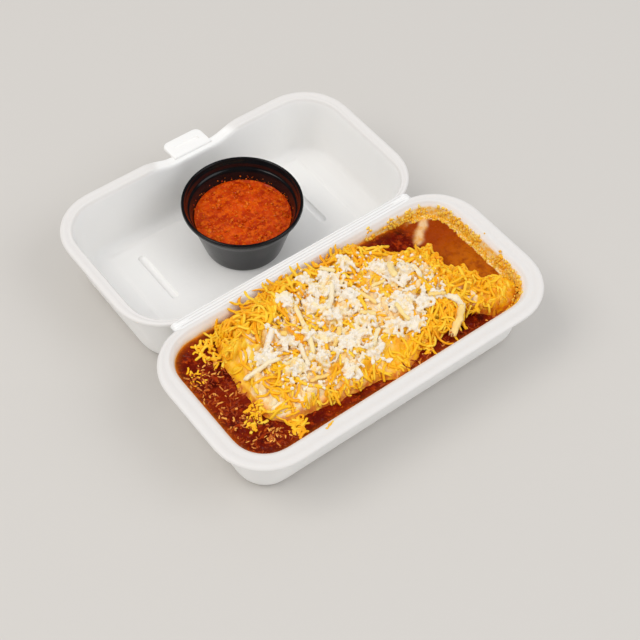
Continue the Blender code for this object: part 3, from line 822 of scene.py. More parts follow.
def spin_outline(outline, steps, centre):
    """Spin an outline of (radius, height) in millimetres round a vertical axis."""
    mesh = bpy.data.meshes.new("spun")
    corners = [(centre.x + radius * MM, centre.y, centre.z + height * MM)
               for radius, height in outline]
    mesh.from_pydata(corners, [(k, k + 1) for k in range(len(corners) - 1)], [])
    piece = bpy.data.objects.new("spun", mesh)
    bpy.context.scene.collection.objects.link(piece)
    open_mesh(piece)
    bpy.ops.mesh.select_all(action="SELECT")
    bpy.ops.mesh.spin(steps=steps, angle=2 * math.pi, center=tuple(centre), axis=(0, 0, 1))
    bpy.ops.mesh.select_all(action="SELECT")
    bpy.ops.mesh.remove_doubles(threshold=0.02 * MM)
    face_outward()
    close_mesh()
    return piece


cup = spin_outline(CUP_OUTLINE, CUP_STEPS, CUP_CENTRE)
add_modifier(cup, "SUBSURF", levels=1, render_levels=1)
settle(cup, "portion_cup")

# %% [markdown]
# ## Salsa
# Salsa is a wet, lumpy sauce. Its body is spun like the cup, with fine rings on top, and the
# top is then moved up and down by layers of noise. Small bits of tomato lie half sunk in it.

# %% Salsa
SALSA_LEVEL = 19.8            # millimetres above the cup's underside
SALSA_RADIUS = 24.85
SALSA_RINGS = 64
SALSA_STEPS = 160
SALSA_UNDERSIDE = [(20.6, 4), (0, 3.2)]   # (radius, height), in millimetres


def noise_at(points, scale, seed):
    """Blender's smooth noise at many points, from about -1 to 1."""
    shift = Vector((seed * 17.3, seed * 5.1, seed * 9.7))
    return np.array([noise.noise(Vector(point) * scale + shift) for point in points])


rings = [(SALSA_RADIUS * k / SALSA_RINGS, SALSA_LEVEL) for k in range(SALSA_RINGS + 1)]
salsa = spin_outline(rings + SALSA_UNDERSIDE, SALSA_STEPS, CUP_CENTRE)
points = read_points(salsa)
top = points[:, 2] > CUP_CENTRE.z + (SALSA_LEVEL - 0.5) * MM
rim_room = SALSA_RADIUS * MM - np.hypot(points[:, 0] - CUP_CENTRE.x, points[:, 1] - CUP_CENTRE.y)
lumps = (0.55 * noise_at(points, 170, 1) + 0.42 * noise_at(points, 380, 2)
         + 0.26 * noise_at(points, 800, 3) + 0.12 * noise_at(points, 1500, 4))
points[:, 2] += top * (lumps * smooth_step(rim_room / (1.5 * MM))
                       + 0.5 * np.exp(-rim_room / (0.8 * MM))) * MM
write_points(salsa, points)
settle(salsa, "salsa_body")

# %% [markdown]
# ## Chile sauce
# The base is filled with thick red-brown sauce up to a few millimetres under the rim. The pool
# has the outline of the tray's inner wall. Its top is cut into a fine grid, sinks a little at
# the right end, and gets low waves, small lumps, and a thin edge that climbs the foam. There a
# streak of melted white cheese lies on it. Attributes tell the materials of the pool and the
# foam where there is oil, streak, crust and stain, and which part of the foam is its rim, which
# is painted a shade greyer as painted shade.

# %% Sauce pool
SAUCE_LEVEL = 29.8 * MM
SAUCE_INSET = 10.7            # the tray's wall is this far in at the level of the sauce
STREAK = ((60, -29), (75, -16.5))   # ends of a streak of melted white cheese, in millimetres
RIGHT_DIP = 2.6 * MM          # the sauce is this much lower at the right end
SHOULDER = (8 * MM, (0.985, 0.97, 1))      # depth of each step down, and how it narrows
POOL_FLOOR = (17.6 * MM, (0.955, 0.92, 1))
TOP_EDGE = 1.2 * MM

pool = rounded_outline(BASE_LENGTH, BASE_WIDTH, -1, SAUCE_LEVEL)
follow_section(pool, [(0, SAUCE_LEVEL / MM), (SAUCE_INSET, SAUCE_LEVEL / MM)], -1, 1)
pick(pool, "FACE", lambda face: len(face.verts) == 4)
bpy.ops.mesh.delete(type="FACE")
pick(pool, "FACE", lambda face: len(face.verts) > 8)
for depth, narrowing in (SHOULDER, POOL_FLOOR):
    bpy.ops.mesh.extrude_region_move(TRANSFORM_OT_translate={"value": (0, 0, -depth)})
    bpy.ops.transform.resize(value=narrowing)
face_outward()
pick(pool, "FACE", big_face(1))
bpy.ops.mesh.inset(thickness=TOP_EDGE, depth=0)
grid_over(pool, 1)
pick(pool, "FACE", lambda face: face.normal.z > 0.5)
bpy.ops.mesh.subdivide(number_cuts=7)
close_mesh()


# %% Distances to outlines
def outline_room(points, outline):
    """Distance from each point to a closed outline, above zero inside it."""
    nearest = np.full(len(points), 1e9)
    inside = np.zeros(len(points), bool)
    for (ax, ay), (bx, by) in zip(outline, outline[1:] + outline[:1]):
        run = np.array([bx - ax, by - ay])
        share = np.clip(((points[:, :2] - [ax, ay]) @ run) / (run @ run), 0, 1)
        gap = points[:, :2] - [ax, ay] - share[:, None] * run
        nearest = np.minimum(nearest, np.hypot(gap[:, 0], gap[:, 1]))
        if ay != by:
            crosses = (ay > points[:, 1]) != (by > points[:, 1])
            cross_x = ax + (points[:, 1] - ay) / (by - ay) * (bx - ax)
            inside ^= crosses & (points[:, 0] < cross_x)
    return np.where(inside, nearest, -nearest)


def tray_inset(x, y):
    """How far places are from the outline of the base's rim, as the wall section counts it."""
    from_hinge = CREASE_Y - CREASE_GAP - y
    to_hinge = np.where(from_hinge < WIDE_RIM / 2, 2 * from_hinge, from_hinge + WIDE_RIM / 2)
    to_front = BASE_WIDTH - from_hinge
    to_end = BASE_LENGTH / 2 - np.abs(x)
    across = np.minimum(to_hinge, to_front)
    radius = CORNER_RADIUS
    corner = (to_end < radius) & (across < radius)
    rounded = radius - np.hypot(radius - to_end, radius - across)
    return np.where(corner, rounded, np.minimum(to_end, across))


def inset_at(x, y):
    """How far one place is from the outline of the base's rim, in millimetres."""
    return tray_inset(np.array([x]), np.array([y]))[0] / MM


def sauce_top(x):
    """Level of the sauce, which sinks a little towards the right end."""
    return SAUCE_LEVEL - RIGHT_DIP * smooth_step((x - 32 * MM) / (30 * MM))


# %% Relief of the sauce
points = placed_points(pool)
top = points[:, 2] > SAUCE_LEVEL - 0.2 * MM
wall_room = np.maximum(tray_inset(points[:, 0], points[:, 1]) - SAUCE_INSET * MM, 0)
waves = (0.35 * noise_at(points, 75, 5) + 0.45 * noise_at(points, 190, 6)
         + 0.38 * noise_at(points, 480, 7) + 0.2 * noise_at(points, 1000, 8))
right_end = smooth_step((points[:, 0] - 56 * MM) / (8 * MM))
start, end = (np.array(place) * MM for place in STREAK)
run = end - start
share = np.clip((points[:, :2] - start) @ run / (run @ run), 0, 1)
gap = np.hypot(*(points[:, :2] - start - share[:, None] * run).T)
streak = smooth_step(1.35 - gap / (2.6 * MM) + 0.5 * noise_at(points, 230, 17))
points[:, 2] += top * 0.4 * MM * streak
points[:, 2] -= top * (SAUCE_LEVEL - sauce_top(points[:, 0]))
points[:, 2] += top * (waves * (1 - 0.4 * right_end) * smooth_step(wall_room / (2 * MM))
                       + 0.6 * np.exp(-wall_room / (1.0 * MM))) * MM
write_placed(pool, points)


def add_attribute(piece, name, values):
    """Store one number from 0 to 1 at each point, for the material to read."""
    attribute = piece.data.attributes.new(name, "FLOAT", "POINT")
    attribute.data.foreach_set("value", np.clip(values, 0, 1).astype(np.float32))


down_slope = smooth_step((-points[:, 1] - 22 * MM) / (44 * MM))
add_attribute(pool, "oil", 1.15 * np.exp(-wall_room / (0.9 * MM)))
add_attribute(pool, "streak", streak)
add_attribute(pool, "warm", right_end * (0.4 + 0.8 * down_slope))
dried_edge = (3.0 + 1.1 * noise_at(points, 140, 18) + 0.8 * noise_at(points, 420, 19)) * MM
from_left = smooth_step((points[:, 0] - 60 * MM) / (14 * MM))
add_attribute(pool, "crust", from_left * smooth_step(0.5 + (dried_edge - wall_room) / (0.8 * MM)))
settle(pool, "sauce_pool")

# %% Stains on the foam
STAIN_TOP = 31.2              # height of the orange stain on the foam, in millimetres
STAIN_RISE = 1.2              # it is this much higher at the right end
CRUST_TOP = 32.4 * MM
RIM_PAINTED_SHADE_DEPTH = 2.4 * MM    # the painted shade on a rim ends this far under its top

points = read_points(foam_base)
inset = tray_inset(points[:, 0], points[:, 1])
base_wall = BASE_INSIDE[:6:-1]   # from the floor up to the inner edge of the rim
wall_heights = [height for _, height in base_wall]
wall_insets = [inset for inset, _ in base_wall]
inner_wall = np.interp(points[:, 2] / MM, wall_heights, wall_insets)
inside = smooth_step((inset / MM - inner_wall + 1.2) / 0.5)
far_right = smooth_step((points[:, 0] - 30 * MM) / (30 * MM)) * smooth_step(
    (points[:, 1] + 88 * MM) / (12 * MM))
stain_top = (STAIN_TOP + STAIN_RISE * far_right) * MM + 0.9 * MM * noise_at(points, 160, 14)
add_attribute(foam_base, "stain", inside * (0.5 + (stain_top - points[:, 2]) / (2.0 * MM)))
crust_top = CRUST_TOP + 1.3 * MM * noise_at(points, 260, 16)
add_attribute(foam_base, "crust", inside * far_right * (
    0.5 + (crust_top - points[:, 2]) / (1.2 * MM)))
# Painted shade: the rim attribute lets the foam finish paint the top of each rim a shade greyer.
for piece in (foam_base, foam_lid):
    heights = read_points(piece)[:, 2]
    above_shade_end = heights - heights.max() + RIM_PAINTED_SHADE_DEPTH
    add_attribute(piece, "rim", smooth_step(above_shade_end / (1.6 * MM)))

# %% [markdown]
# ## Rolled enchiladas
# Two soft tortilla rolls lie side by side under the cheese. Each is a cylinder pressed flat
# where it rests, with slightly squeezed ends that show the turns of the rolled tortilla.

# %% Rolls
ROLL_LEFT = -55 * MM
ROLL_BOTTOM = 3.4 * MM
ROLL_TOP = 34.2 * MM
ROLL_HALF_WIDTH = 14.6 * MM
ROLL_PLACES = {   # distance from the crease, and x of the right end
    "front": (57.3 * MM, 65.5 * MM), "back": (26.6 * MM, 33.5 * MM)}
ROLL_SIDES = 40
ROLL_CUTS = 23
TURN_WIDTH = 2.0 * MM
TURN_DEPTHS = (-1.1 * MM, 0.9 * MM, -1.1 * MM, 0.9 * MM, -1.1 * MM)
SQUEEZED_LENGTH = 12 * MM


def tortilla_roll(name, from_hinge, right_end):
    """A roll along X, with the turns of the tortilla showing in its squeezed ends."""
    middle = Vector(((ROLL_LEFT + right_end) / 2, from_crease(from_hinge, -1),
                     (ROLL_BOTTOM + ROLL_TOP) / 2))
    bpy.ops.object.select_all(action="DESELECT")
    bpy.ops.mesh.primitive_cylinder_add(
        vertices=ROLL_SIDES, radius=1, depth=right_end - ROLL_LEFT, end_fill_type="NGON",
        rotation=(0, math.radians(90), 0), location=middle, enter_editmode=True)
    roll = bpy.context.object
    close_mesh()
    bpy.ops.object.transform_apply(location=False, rotation=True, scale=False)
    open_mesh(roll)
    pick(roll, "EDGE", lambda edge: abs(edge.verts[0].co.x - edge.verts[1].co.x) > 1 * MM)
    bpy.ops.mesh.subdivide(number_cuts=ROLL_CUTS)
    bpy.ops.mesh.select_all(action="SELECT")
    bpy.ops.transform.resize(value=(1, ROLL_HALF_WIDTH, (ROLL_TOP - ROLL_BOTTOM) / 2))
    pick(roll, "FACE", lambda face: len(face.verts) > 8)
    for depth in TURN_DEPTHS:
        bpy.ops.mesh.inset(thickness=TURN_WIDTH, depth=depth)
    close_mesh()
    points = read_points(roll)
    from_end = (right_end - ROLL_LEFT) / 2 - np.abs(points[:, 0])
    squeeze = 0.84 + 0.16 * np.sqrt(smooth_step(from_end / SQUEEZED_LENGTH))
    wrinkles = 1 + 0.02 * noise_at(points, 120, 9)
    points[:, 1:] *= (squeeze * wrinkles)[:, None]
    write_points(roll, points)
    return settle(roll, "enchilada_roll_" + name)


rolls = {name: tortilla_roll(name, *place) for name, place in ROLL_PLACES.items()}

# %% [markdown]
# ## Piling up shreds
# Real shreds fall one after another and rest on what is already there. A height map of the box
# and the sauce is read by rays from above. Each shred is laid on the map along its own curved
# line, lifted to the highest places under it, and then raises the map for the next one. The
# map also keeps the tone of the shred that lies on top.

# %% Height map
MAP_STEP = 0.5 * MM
MAP_LOW = np.array([-95, -104]) * MM
MAP_SHAPE = (380, 212)
RAY_START = 60 * MM
MIDDLE_TONE = 0.5


def metres(outline):
    return [(x * MM, y * MM) for x, y in outline]


def height_map(pieces):
    """Highest surface of some pieces at each cell of the map."""
    heights = np.zeros(MAP_SHAPE)
    for piece in pieces:
        corners = [corner.co for corner in piece.data.vertices]
        faces = [tuple(face.vertices) for face in piece.data.polygons]
        tree = BVHTree.FromPolygons(corners, faces)
        for i in range(MAP_SHAPE[0]):
            x = MAP_LOW[0] + i * MAP_STEP
            for j in range(MAP_SHAPE[1]):
                start = Vector((x, MAP_LOW[1] + j * MAP_STEP, RAY_START))
                hit = tree.ray_cast(start, Vector((0, 0, -1)))[0]
                if hit is not None and hit.z > heights[i, j]:
                    heights[i, j] = hit.z
    return heights


pile = height_map([foam_base, pool])
pile_tone = np.full(MAP_SHAPE, MIDDLE_TONE)
map_x, map_y = np.meshgrid(MAP_LOW[0] + np.arange(MAP_SHAPE[0]) * MAP_STEP,
                           MAP_LOW[1] + np.arange(MAP_SHAPE[1]) * MAP_STEP, indexing="ij")
map_places = np.stack([map_x.ravel(), map_y.ravel(), np.zeros(map_x.size)], axis=1)
print("Height map, highest place in millimetres:", round(pile.max() / MM, 1))


def map_cells(places):
    """The cells of the map that places fall in."""
    cells = np.rint((places[..., :2] - MAP_LOW) / MAP_STEP).astype(int)
    return (np.clip(cells[..., 0], 0, MAP_SHAPE[0] - 1),
            np.clip(cells[..., 1], 0, MAP_SHAPE[1] - 1))


def sample_map(values, places):
    """Values of a map at any places, mixed between its cells."""
    cells = (places[:, :2] - MAP_LOW) / MAP_STEP
    low = np.clip(np.floor(cells).astype(int), 0, np.array(MAP_SHAPE) - 2)
    part = cells - low
    i, j = low.T
    near = values[i, j] * (1 - part[:, 1]) + values[i, j + 1] * part[:, 1]
    far = values[i + 1, j] * (1 - part[:, 1]) + values[i + 1, j + 1] * part[:, 1]
    return near * (1 - part[:, 0]) + far * part[:, 0]


def raise_pile(path, radius, tone=MIDDLE_TONE):
    """Raise the map to the top of a shred along its path, and note its tone there."""
    dense = np.concatenate([path[:-1] + (path[1:] - path[:-1]) * share
                            for share in (0, 0.25, 0.5, 0.75)])
    reach = int(radius / MAP_STEP) + 1
    for i in range(-reach, reach + 1):
        for j in range(-reach, reach + 1):
            away = math.hypot(i, j) * MAP_STEP
            if away <= radius:
                top = dense[:, 2] + math.sqrt(radius * radius - away * away)
                x, y = map_cells(dense + np.array([i * MAP_STEP, j * MAP_STEP, 0]))
                higher = top > pile[x, y]
                pile_tone[x[higher], y[higher]] = tone
                np.maximum.at(pile, (x, y), top)


def lay_path(x, y, heading, length, bend, radius, spring, draw, rest=0.75, steps=9):
    """The centre line of a bent shred that rests on the pile. Spring lifts its far end."""
    path = np.zeros((steps, 3))
    angle = heading - bend / 2
    for step in range(1, steps):
        angle += bend / (steps - 1) + draw.gauss(0, 0.07)
        path[step, :2] = path[step - 1, :2] + length / (steps - 1) * np.array(
            [math.cos(angle), math.sin(angle)])
    path[:, :2] += np.array([x, y]) - path[:, :2].mean(axis=0)
    under = pile[map_cells(path)] + rest * radius
    smooth = under.copy()
    for _ in range(2):
        padded = np.concatenate([smooth[:1], smooth, smooth[-1:]])
        smooth = (padded[:-2] + 2 * padded[1:-1] + padded[2:]) / 4
    path[:, 2] = np.maximum(smooth, under - 0.35 * radius)
    share = np.linspace(0, 1, steps)
    path[:, 2] += spring * share * share
    return path


def scatter_in(outline, count, draw, rule=None):
    """Random places inside an outline in millimetres, kept where a rule says so."""
    xs = [x for x, _ in outline]
    ys = [y for _, y in outline]
    places = []
    while len(places) < count:
        tries = np.array([(draw.uniform(min(xs), max(xs)) * MM, draw.uniform(min(ys), max(ys)) * MM)
                          for _ in range(400)])
        for place in tries[outline_room(tries, metres(outline)) > 0]:
            if rule is None or rule(*place):
                places.append(tuple(place))
    return places[:count]


# %% [markdown]
# ## The melted cheese
# Over the rolls the cheese has melted into one soft sheet that runs out into the sauce. It
# climbs from a ragged outline to a broad crown. Many shreds are pressed into the map where
# they have half melted, and a fine grid then takes its height from the map, so that the sheet
# shows their ridges. No roll shows through it. Attributes say where it is creamy, and where
# sauce has soaked its edge.

# %% Shape of the mound
MOUND_OUTLINE = [   # x and y in millimetres, anticlockwise from the left end
    (-59, -26), (-62.5, -36), (-63.5, -50), (-62.5, -66), (-62, -73), (-56, -78.5), (-48, -79),
    (-39, -80.5), (-33, -82), (-24, -82), (-16, -83.5), (-7, -85), (-2, -88), (5, -88),
    (10, -85), (16, -82.5), (24, -82.5), (33, -81.5), (42, -78), (53, -78.5),
    (60, -86), (72, -86.5), (81, -80), (81, -72), (67, -65), (62.5, -58), (61, -46), (61, -38),
    (58, -33), (50, -32), (43, -28), (35, -20.5), (26, -16), (0, -15), (-30, -15), (-50, -18.5)]
CREAM_BLOBS = [   # x, y, half length, half width and height in millimetres, heading in degrees
    (-57, -57, 6, 4.5, 1.7, 40), (-43, -72, 8.5, 5, 2.0, 20), (-57, -73, 5.5, 4, 1.4, -20),
    (-24, -63, 4, 3, 1.3, 0), (-46, -36, 4.5, 3, 1.3, 30), (-29, -57, 4, 3, 1.2, 60),
    (-53, -40, 3.5, 2.5, 1.0, 0), (-48, -76.5, 5, 3, 1.3, 10), (-22, -79, 5, 3, 1.2, -10),
    (50, -50, 3.5, 2.5, 1.2, 40), (55, -76, 4, 3, 1.3, 80), (53, -69, 3, 2, 1.0, 0),
    (22, -25, 4, 2.5, 1.2, 0), (31, -29, 4, 2.5, 1.0, -30), (36, -74, 3, 2, 1.0, 0)]
CREAM_FIELD = [(-56, -44), (-62, -60), (-61, -72), (-52, -78), (-20, -82), (-4, -85), (-8, -70),
               (-20, -58), (-40, -50)]
WHITE_FIELD = [(-54, -47), (-40, -36), (-13, -26), (5, -23), (20, -25), (40, -34), (50, -46),
               (47, -66), (25, -75), (8, -76), (-5, -77), (-20, -79), (-36, -77), (-50, -72)]
MOUND_EDGE = 30.6 * MM
MOUND_CROWN = 5.6 * MM
MOUND_SLOPE = 20 * MM
LOW_END = 46 * MM             # past this x the mound is low, because the rolls end there
LOW_END_FADE = 14 * MM
ROLL_COVER = 1 * MM           # there is at least this much cheese over a roll


def blob_rise(points):
    """Height of the soft blobs of melted white cheese, in millimetres."""
    rise = np.zeros(len(points))
    for x, y, half_length, half_width, height, heading in CREAM_BLOBS:
        turn = math.radians(heading)
        away = points[:, :2] / MM - [x, y]
        along = (away[:, 0] * math.cos(turn) + away[:, 1] * math.sin(turn)) / half_length
        across = (away[:, 1] * math.cos(turn) - away[:, 0] * math.sin(turn)) / half_width
        reach = np.hypot(along, across) + 0.5 * noise_at(points, 160, 15)
        rise = np.maximum(rise, height * smooth_step(2.2 * (1 - reach)))
    return rise


def cream_share(points):
    """From 0 where the sheet is cheddar to 1 where it is melted white cheese."""
    spots = noise_at(points, 150, 21)
    left = smooth_step(0.4 + outline_room(points, metres(CREAM_FIELD)) / (7 * MM))
    middle = smooth_step(0.4 + outline_room(points, metres(WHITE_FIELD)) / (6 * MM))
    patches = np.maximum(left * smooth_step(0.5 + 2.4 * (spots + 0.1)),
                         middle * smooth_step(0.5 + 2.4 * spots))
    return np.maximum(patches, smooth_step(blob_rise(points)))


def past_low_end(points):
    """From 0 to 1 over the place where the mound becomes low."""
    return smooth_step((points[:, 0] - LOW_END) / LOW_END_FADE)


def mound_height(points):
    """Height of the mound before any shred lies on it. Outside it falls under the sauce."""
    ragged = 1.4 * MM * noise_at(points, 120, 10)
    room = outline_room(points, metres(MOUND_OUTLINE)) + ragged
    dip = SAUCE_LEVEL - sauce_top(points[:, 0])
    crown = MOUND_CROWN * (1 - 0.62 * past_low_end(points)) + dip
    climb = np.sin(math.pi / 2 * np.clip(room / MOUND_SLOPE, 0, 1)) ** 1.15
    soft_edge = 1.0 * MM * smooth_step(room / (1.6 * MM))
    outside = np.minimum(room, 0) * 1.2
    swell = (0.6 * noise_at(points, 60, 11) + 1.0 * noise_at(points, 210, 12)
             + 0.6 * noise_at(points, 520, 13) + blob_rise(points))
    return (MOUND_EDGE - dip + soft_edge + crown * climb + outside
            + swell * MM * smooth_step(room / (5 * MM)))


mound = mound_height(map_places).reshape(MAP_SHAPE)
roll_tops = height_map([rolls["front"], rolls["back"]])
above_sauce = roll_tops > sauce_top(map_x) + 0.3 * MM
mound = np.maximum(mound, np.where(above_sauce, roll_tops + ROLL_COVER, 0))
pile = np.maximum(pile, mound)
bare_pile = pile.copy()

# %% Half melted shreds
MOUND_CORE = [(-57, -28), (-60, -73), (-47, -77), (-16, -81), (30, -80), (60, -80), (74, -78),
              (64, -60), (60, -38), (54, -32), (40, -27), (24, -18), (-30, -17), (-50, -20)]
BACK_STRIP = [(-60, -34), (-50, -19), (-34, -14.5), (10, -14.5), (26, -17), (40, -28), (30, -34),
              (-10, -26), (-40, -36)]
RIGHT_FLANK = [(36, -34), (60, -38), (61, -56), (74, -75), (76, -82), (62, -85), (38, -78),
               (30, -60)]
FRONT_EDGE = [(-59, -73), (-48, -75.5), (-36, -77), (-16, -79), (8, -80), (30, -78), (33, -84),
              (22, -86), (8, -87), (-4, -86), (-16, -84), (-36, -81.5), (-48, -80), (-59, -77)]
FRONT_FRINGE = [(14, -84), (20, -74), (40, -64), (50, -66), (46, -80), (34, -82)]


def press_shreds(outline, count, lengths, radii, draw):
    """Press half melted shreds into the map, fewer where the sheet is creamy."""
    for x, y in scatter_in(outline, count, draw):
        creamy = cream_share(np.array([(x, y, 0)]))[0]
        if draw.random() > 0.55 * creamy:
            radius = draw.uniform(*radii) * MM
            path = lay_path(x, y, draw.uniform(0, math.pi), draw.uniform(*lengths) * MM,
                            draw.gauss(0, 1.3), radius, 0, draw, rest=0.45)
            raise_pile(path, radius, draw.random())


draw = random.Random(19)
for outline, count, lengths, radii in (
        (CREAM_FIELD, 160, (2, 6), (0.45, 0.7)), (MOUND_CORE, 560, (6, 17), (0.6, 0.85)),
        (BACK_STRIP, 200, (7, 18), (0.65, 0.9)), (RIGHT_FLANK, 480, (2, 7), (0.45, 0.75))):
    press_shreds(outline, count, lengths, radii, draw)
relief = pile - bare_pile
print("Melted shreds raise the map by up to", round(relief.max() / MM, 1), "mm")

# %% The sheet
GRID_STEP = 0.56 * MM
GRID_COUNTS = (262, 140)
SHEET_CENTRE = (8 * MM, -52 * MM, 0)
SHEET_THICKNESS = 3 * MM


def soften(values):
    """Mix each cell of a map with its neighbours."""
    for axis in (0, 1):
        values = (np.roll(values, 1, axis) + 2 * values + np.roll(values, -1, axis)) / 4
    return values


bpy.ops.object.select_all(action="DESELECT")
bpy.ops.mesh.primitive_grid_add(x_subdivisions=GRID_COUNTS[0], y_subdivisions=GRID_COUNTS[1],
                                size=1, location=SHEET_CENTRE, enter_editmode=True)
cheese = bpy.context.object
bpy.ops.transform.resize(value=(GRID_COUNTS[0] * GRID_STEP, GRID_COUNTS[1] * GRID_STEP, 1))
close_mesh()
points = placed_points(cheese)
room = outline_room(points, metres(MOUND_OUTLINE))
ridges = sample_map(relief, points) * smooth_step(0.3 + room / (2 * MM))
points[:, 2] = sample_map(mound, points) + ridges
write_placed(cheese, points)
open_mesh(cheese)
pick(cheese, "VERT", lambda corner: corner.co.z < sauce_top(
    corner.co.x + cheese.location.x) - 1.6 * MM)
bpy.ops.mesh.delete(type="VERT")
pick(cheese, "VERT", lambda corner: len(corner.link_faces) == 0)
bpy.ops.mesh.delete(type="VERT")
bpy.ops.mesh.select_all(action="SELECT")
bpy.ops.mesh.extrude_region_move(TRANSFORM_OT_translate={"value": (0, 0, -SHEET_THICKNESS)})
face_outward()
close_mesh()
points = placed_points(cheese)
room = outline_room(points, metres(MOUND_OUTLINE))
add_attribute(cheese, "cream", cream_share(points))
add_attribute(cheese, "tone", sample_map(soften(pile_tone), points))
add_attribute(cheese, "soaked", 1 - smooth_step(room / ((2.4 + 2 * past_low_end(points)) * MM)))
settle(cheese, "melted_cheese")

# %% [markdown]
# ## One strand, many copies
# A shred of cheese is a short strip with blunt, thinner ends. One strand is modelled from a
# cylinder, and each copy has its points carried along its own line, with its own thickness.
# An attribute gives each copy its own tone, which the material reads.

# %% Strand and its copies
def master_strand(sides, cuts):
    """Points and faces of a strand of length 1 along X and radius 1, thinner at both ends."""
    bpy.ops.object.select_all(action="DESELECT")
    bpy.ops.mesh.primitive_cylinder_add(vertices=sides, radius=1, depth=1, end_fill_type="NGON",
                                        rotation=(0, math.radians(90), 0), location=(0, 0, 0))
    strand = bpy.context.object
    bpy.ops.object.transform_apply(location=False, rotation=True, scale=False)
    open_mesh(strand)
    pick(strand, "EDGE", lambda edge: abs(edge.verts[0].co.x - edge.verts[1].co.x) > 0.5)
    bpy.ops.mesh.subdivide(number_cuts=cuts)
    for side in (-1, 1):
        pick(strand, "VERT", lambda corner: corner.co.x * side > 0.49)
        bpy.ops.transform.resize(value=(1, 0.55, 0.55))
    close_mesh()
    points = read_points(strand)
    faces = [tuple(face.vertices) for face in strand.data.polygons]
    bpy.data.objects.remove(strand, do_unlink=True)
    return points, faces


def carry_along(points, path, radius, flatness, roughness, draw):
    """Points of the master strand carried along a path."""
    share = np.clip(points[:, 0] + 0.5, 0, 1) * (len(path) - 1)
    low = np.minimum(share.astype(int), len(path) - 2)
    part = (share - low)[:, None]
    centre = path[low] * (1 - part) + path[low + 1] * part
    ahead = np.gradient(path, axis=0)
    ahead = ahead[low] * (1 - part) + ahead[low + 1] * part
    ahead /= np.linalg.norm(ahead, axis=1)[:, None]
    beside = np.cross(np.array([0, 0, 1.0]), ahead)
    beside /= np.maximum(np.linalg.norm(beside, axis=1), 1e-6)[:, None]
    above = np.cross(ahead, beside)
    rolled = draw.uniform(0, math.pi)
    across = points[:, 1] * math.cos(rolled) - points[:, 2] * math.sin(rolled)
    rise = points[:, 1] * math.sin(rolled) + points[:, 2] * math.cos(rolled)
    uneven = np.array([draw.gauss(1, roughness) for _ in range(len(points))])
    return (centre + beside * (across * radius * uneven / flatness)[:, None]
            + above * (rise * radius * uneven * flatness)[:, None])


def one_mesh(name, copies):
    """Join copies, each its points, faces and tone, into one object with a tone per point."""
    shapes, faces, shades = [], [], []
    start = 0
    for points, own_faces, tone in copies:
        shapes.append(points)
        faces += [tuple(start + corner for corner in face) for face in own_faces]
        shades.append(np.full(len(points), tone))
        start += len(points)
    mesh = bpy.data.meshes.new(name)
    mesh.from_pydata(np.concatenate(shapes).tolist(), [], faces)
    piece = bpy.data.objects.new(name, mesh)
    bpy.context.scene.collection.objects.link(piece)
    add_attribute(piece, "tone", np.concatenate(shades))
    return settle(piece, name)


FOOD_TOP = 47.3 * MM
SETTLING_DEPTH = 4.3 * MM     # the top of the pile settles within this depth


def settled(heights):
    """Heights where the highest part of the pile has settled gently, up to FOOD_TOP."""
    start = FOOD_TOP - SETTLING_DEPTH
    above = np.maximum(heights - start, 0)
    return heights - above + SETTLING_DEPTH * (1 - np.exp(-above / SETTLING_DEPTH))


def keep_low(piece):
    """Settle a piece, so that the pile stays as low as the CAD food."""
    points = read_points(piece)
    points[:, 2] = settled(points[:, 2])
    print(f"{piece.name}: top at {points[:, 2].max() / MM:.1f} mm")
    write_points(piece, points)


# %% [markdown]
# ## Loose cheddar
# The last shreds of cheddar did not melt. They lie thick along the back, where a few lean over
# the rim, and in strings over the front edge on the right. Small clumps also float in the
# sauce. Those at the back bend before they reach the crease, so that the lid can close.

# %% Cheddar shreds
draw = random.Random(41)
thin_strand = master_strand(6, 9)
cheddar = []


def lay_strand(copies, strand, place, heading, length, radius, bend, spring=0.0, rough=0.06,
               rest=0.6):
    """Lay one strand on the pile, in millimetres, and add it to a list of copies."""
    x, y = place
    path = lay_path(x, y, heading, length * MM, bend, radius * MM, spring * MM, draw, rest)
    tone = draw.random()
    raise_pile(path, 0.8 * radius * MM, tone)
    points, faces = strand
    copies.append((carry_along(points, path, radius * MM, 0.82, rough, draw), faces, tone))


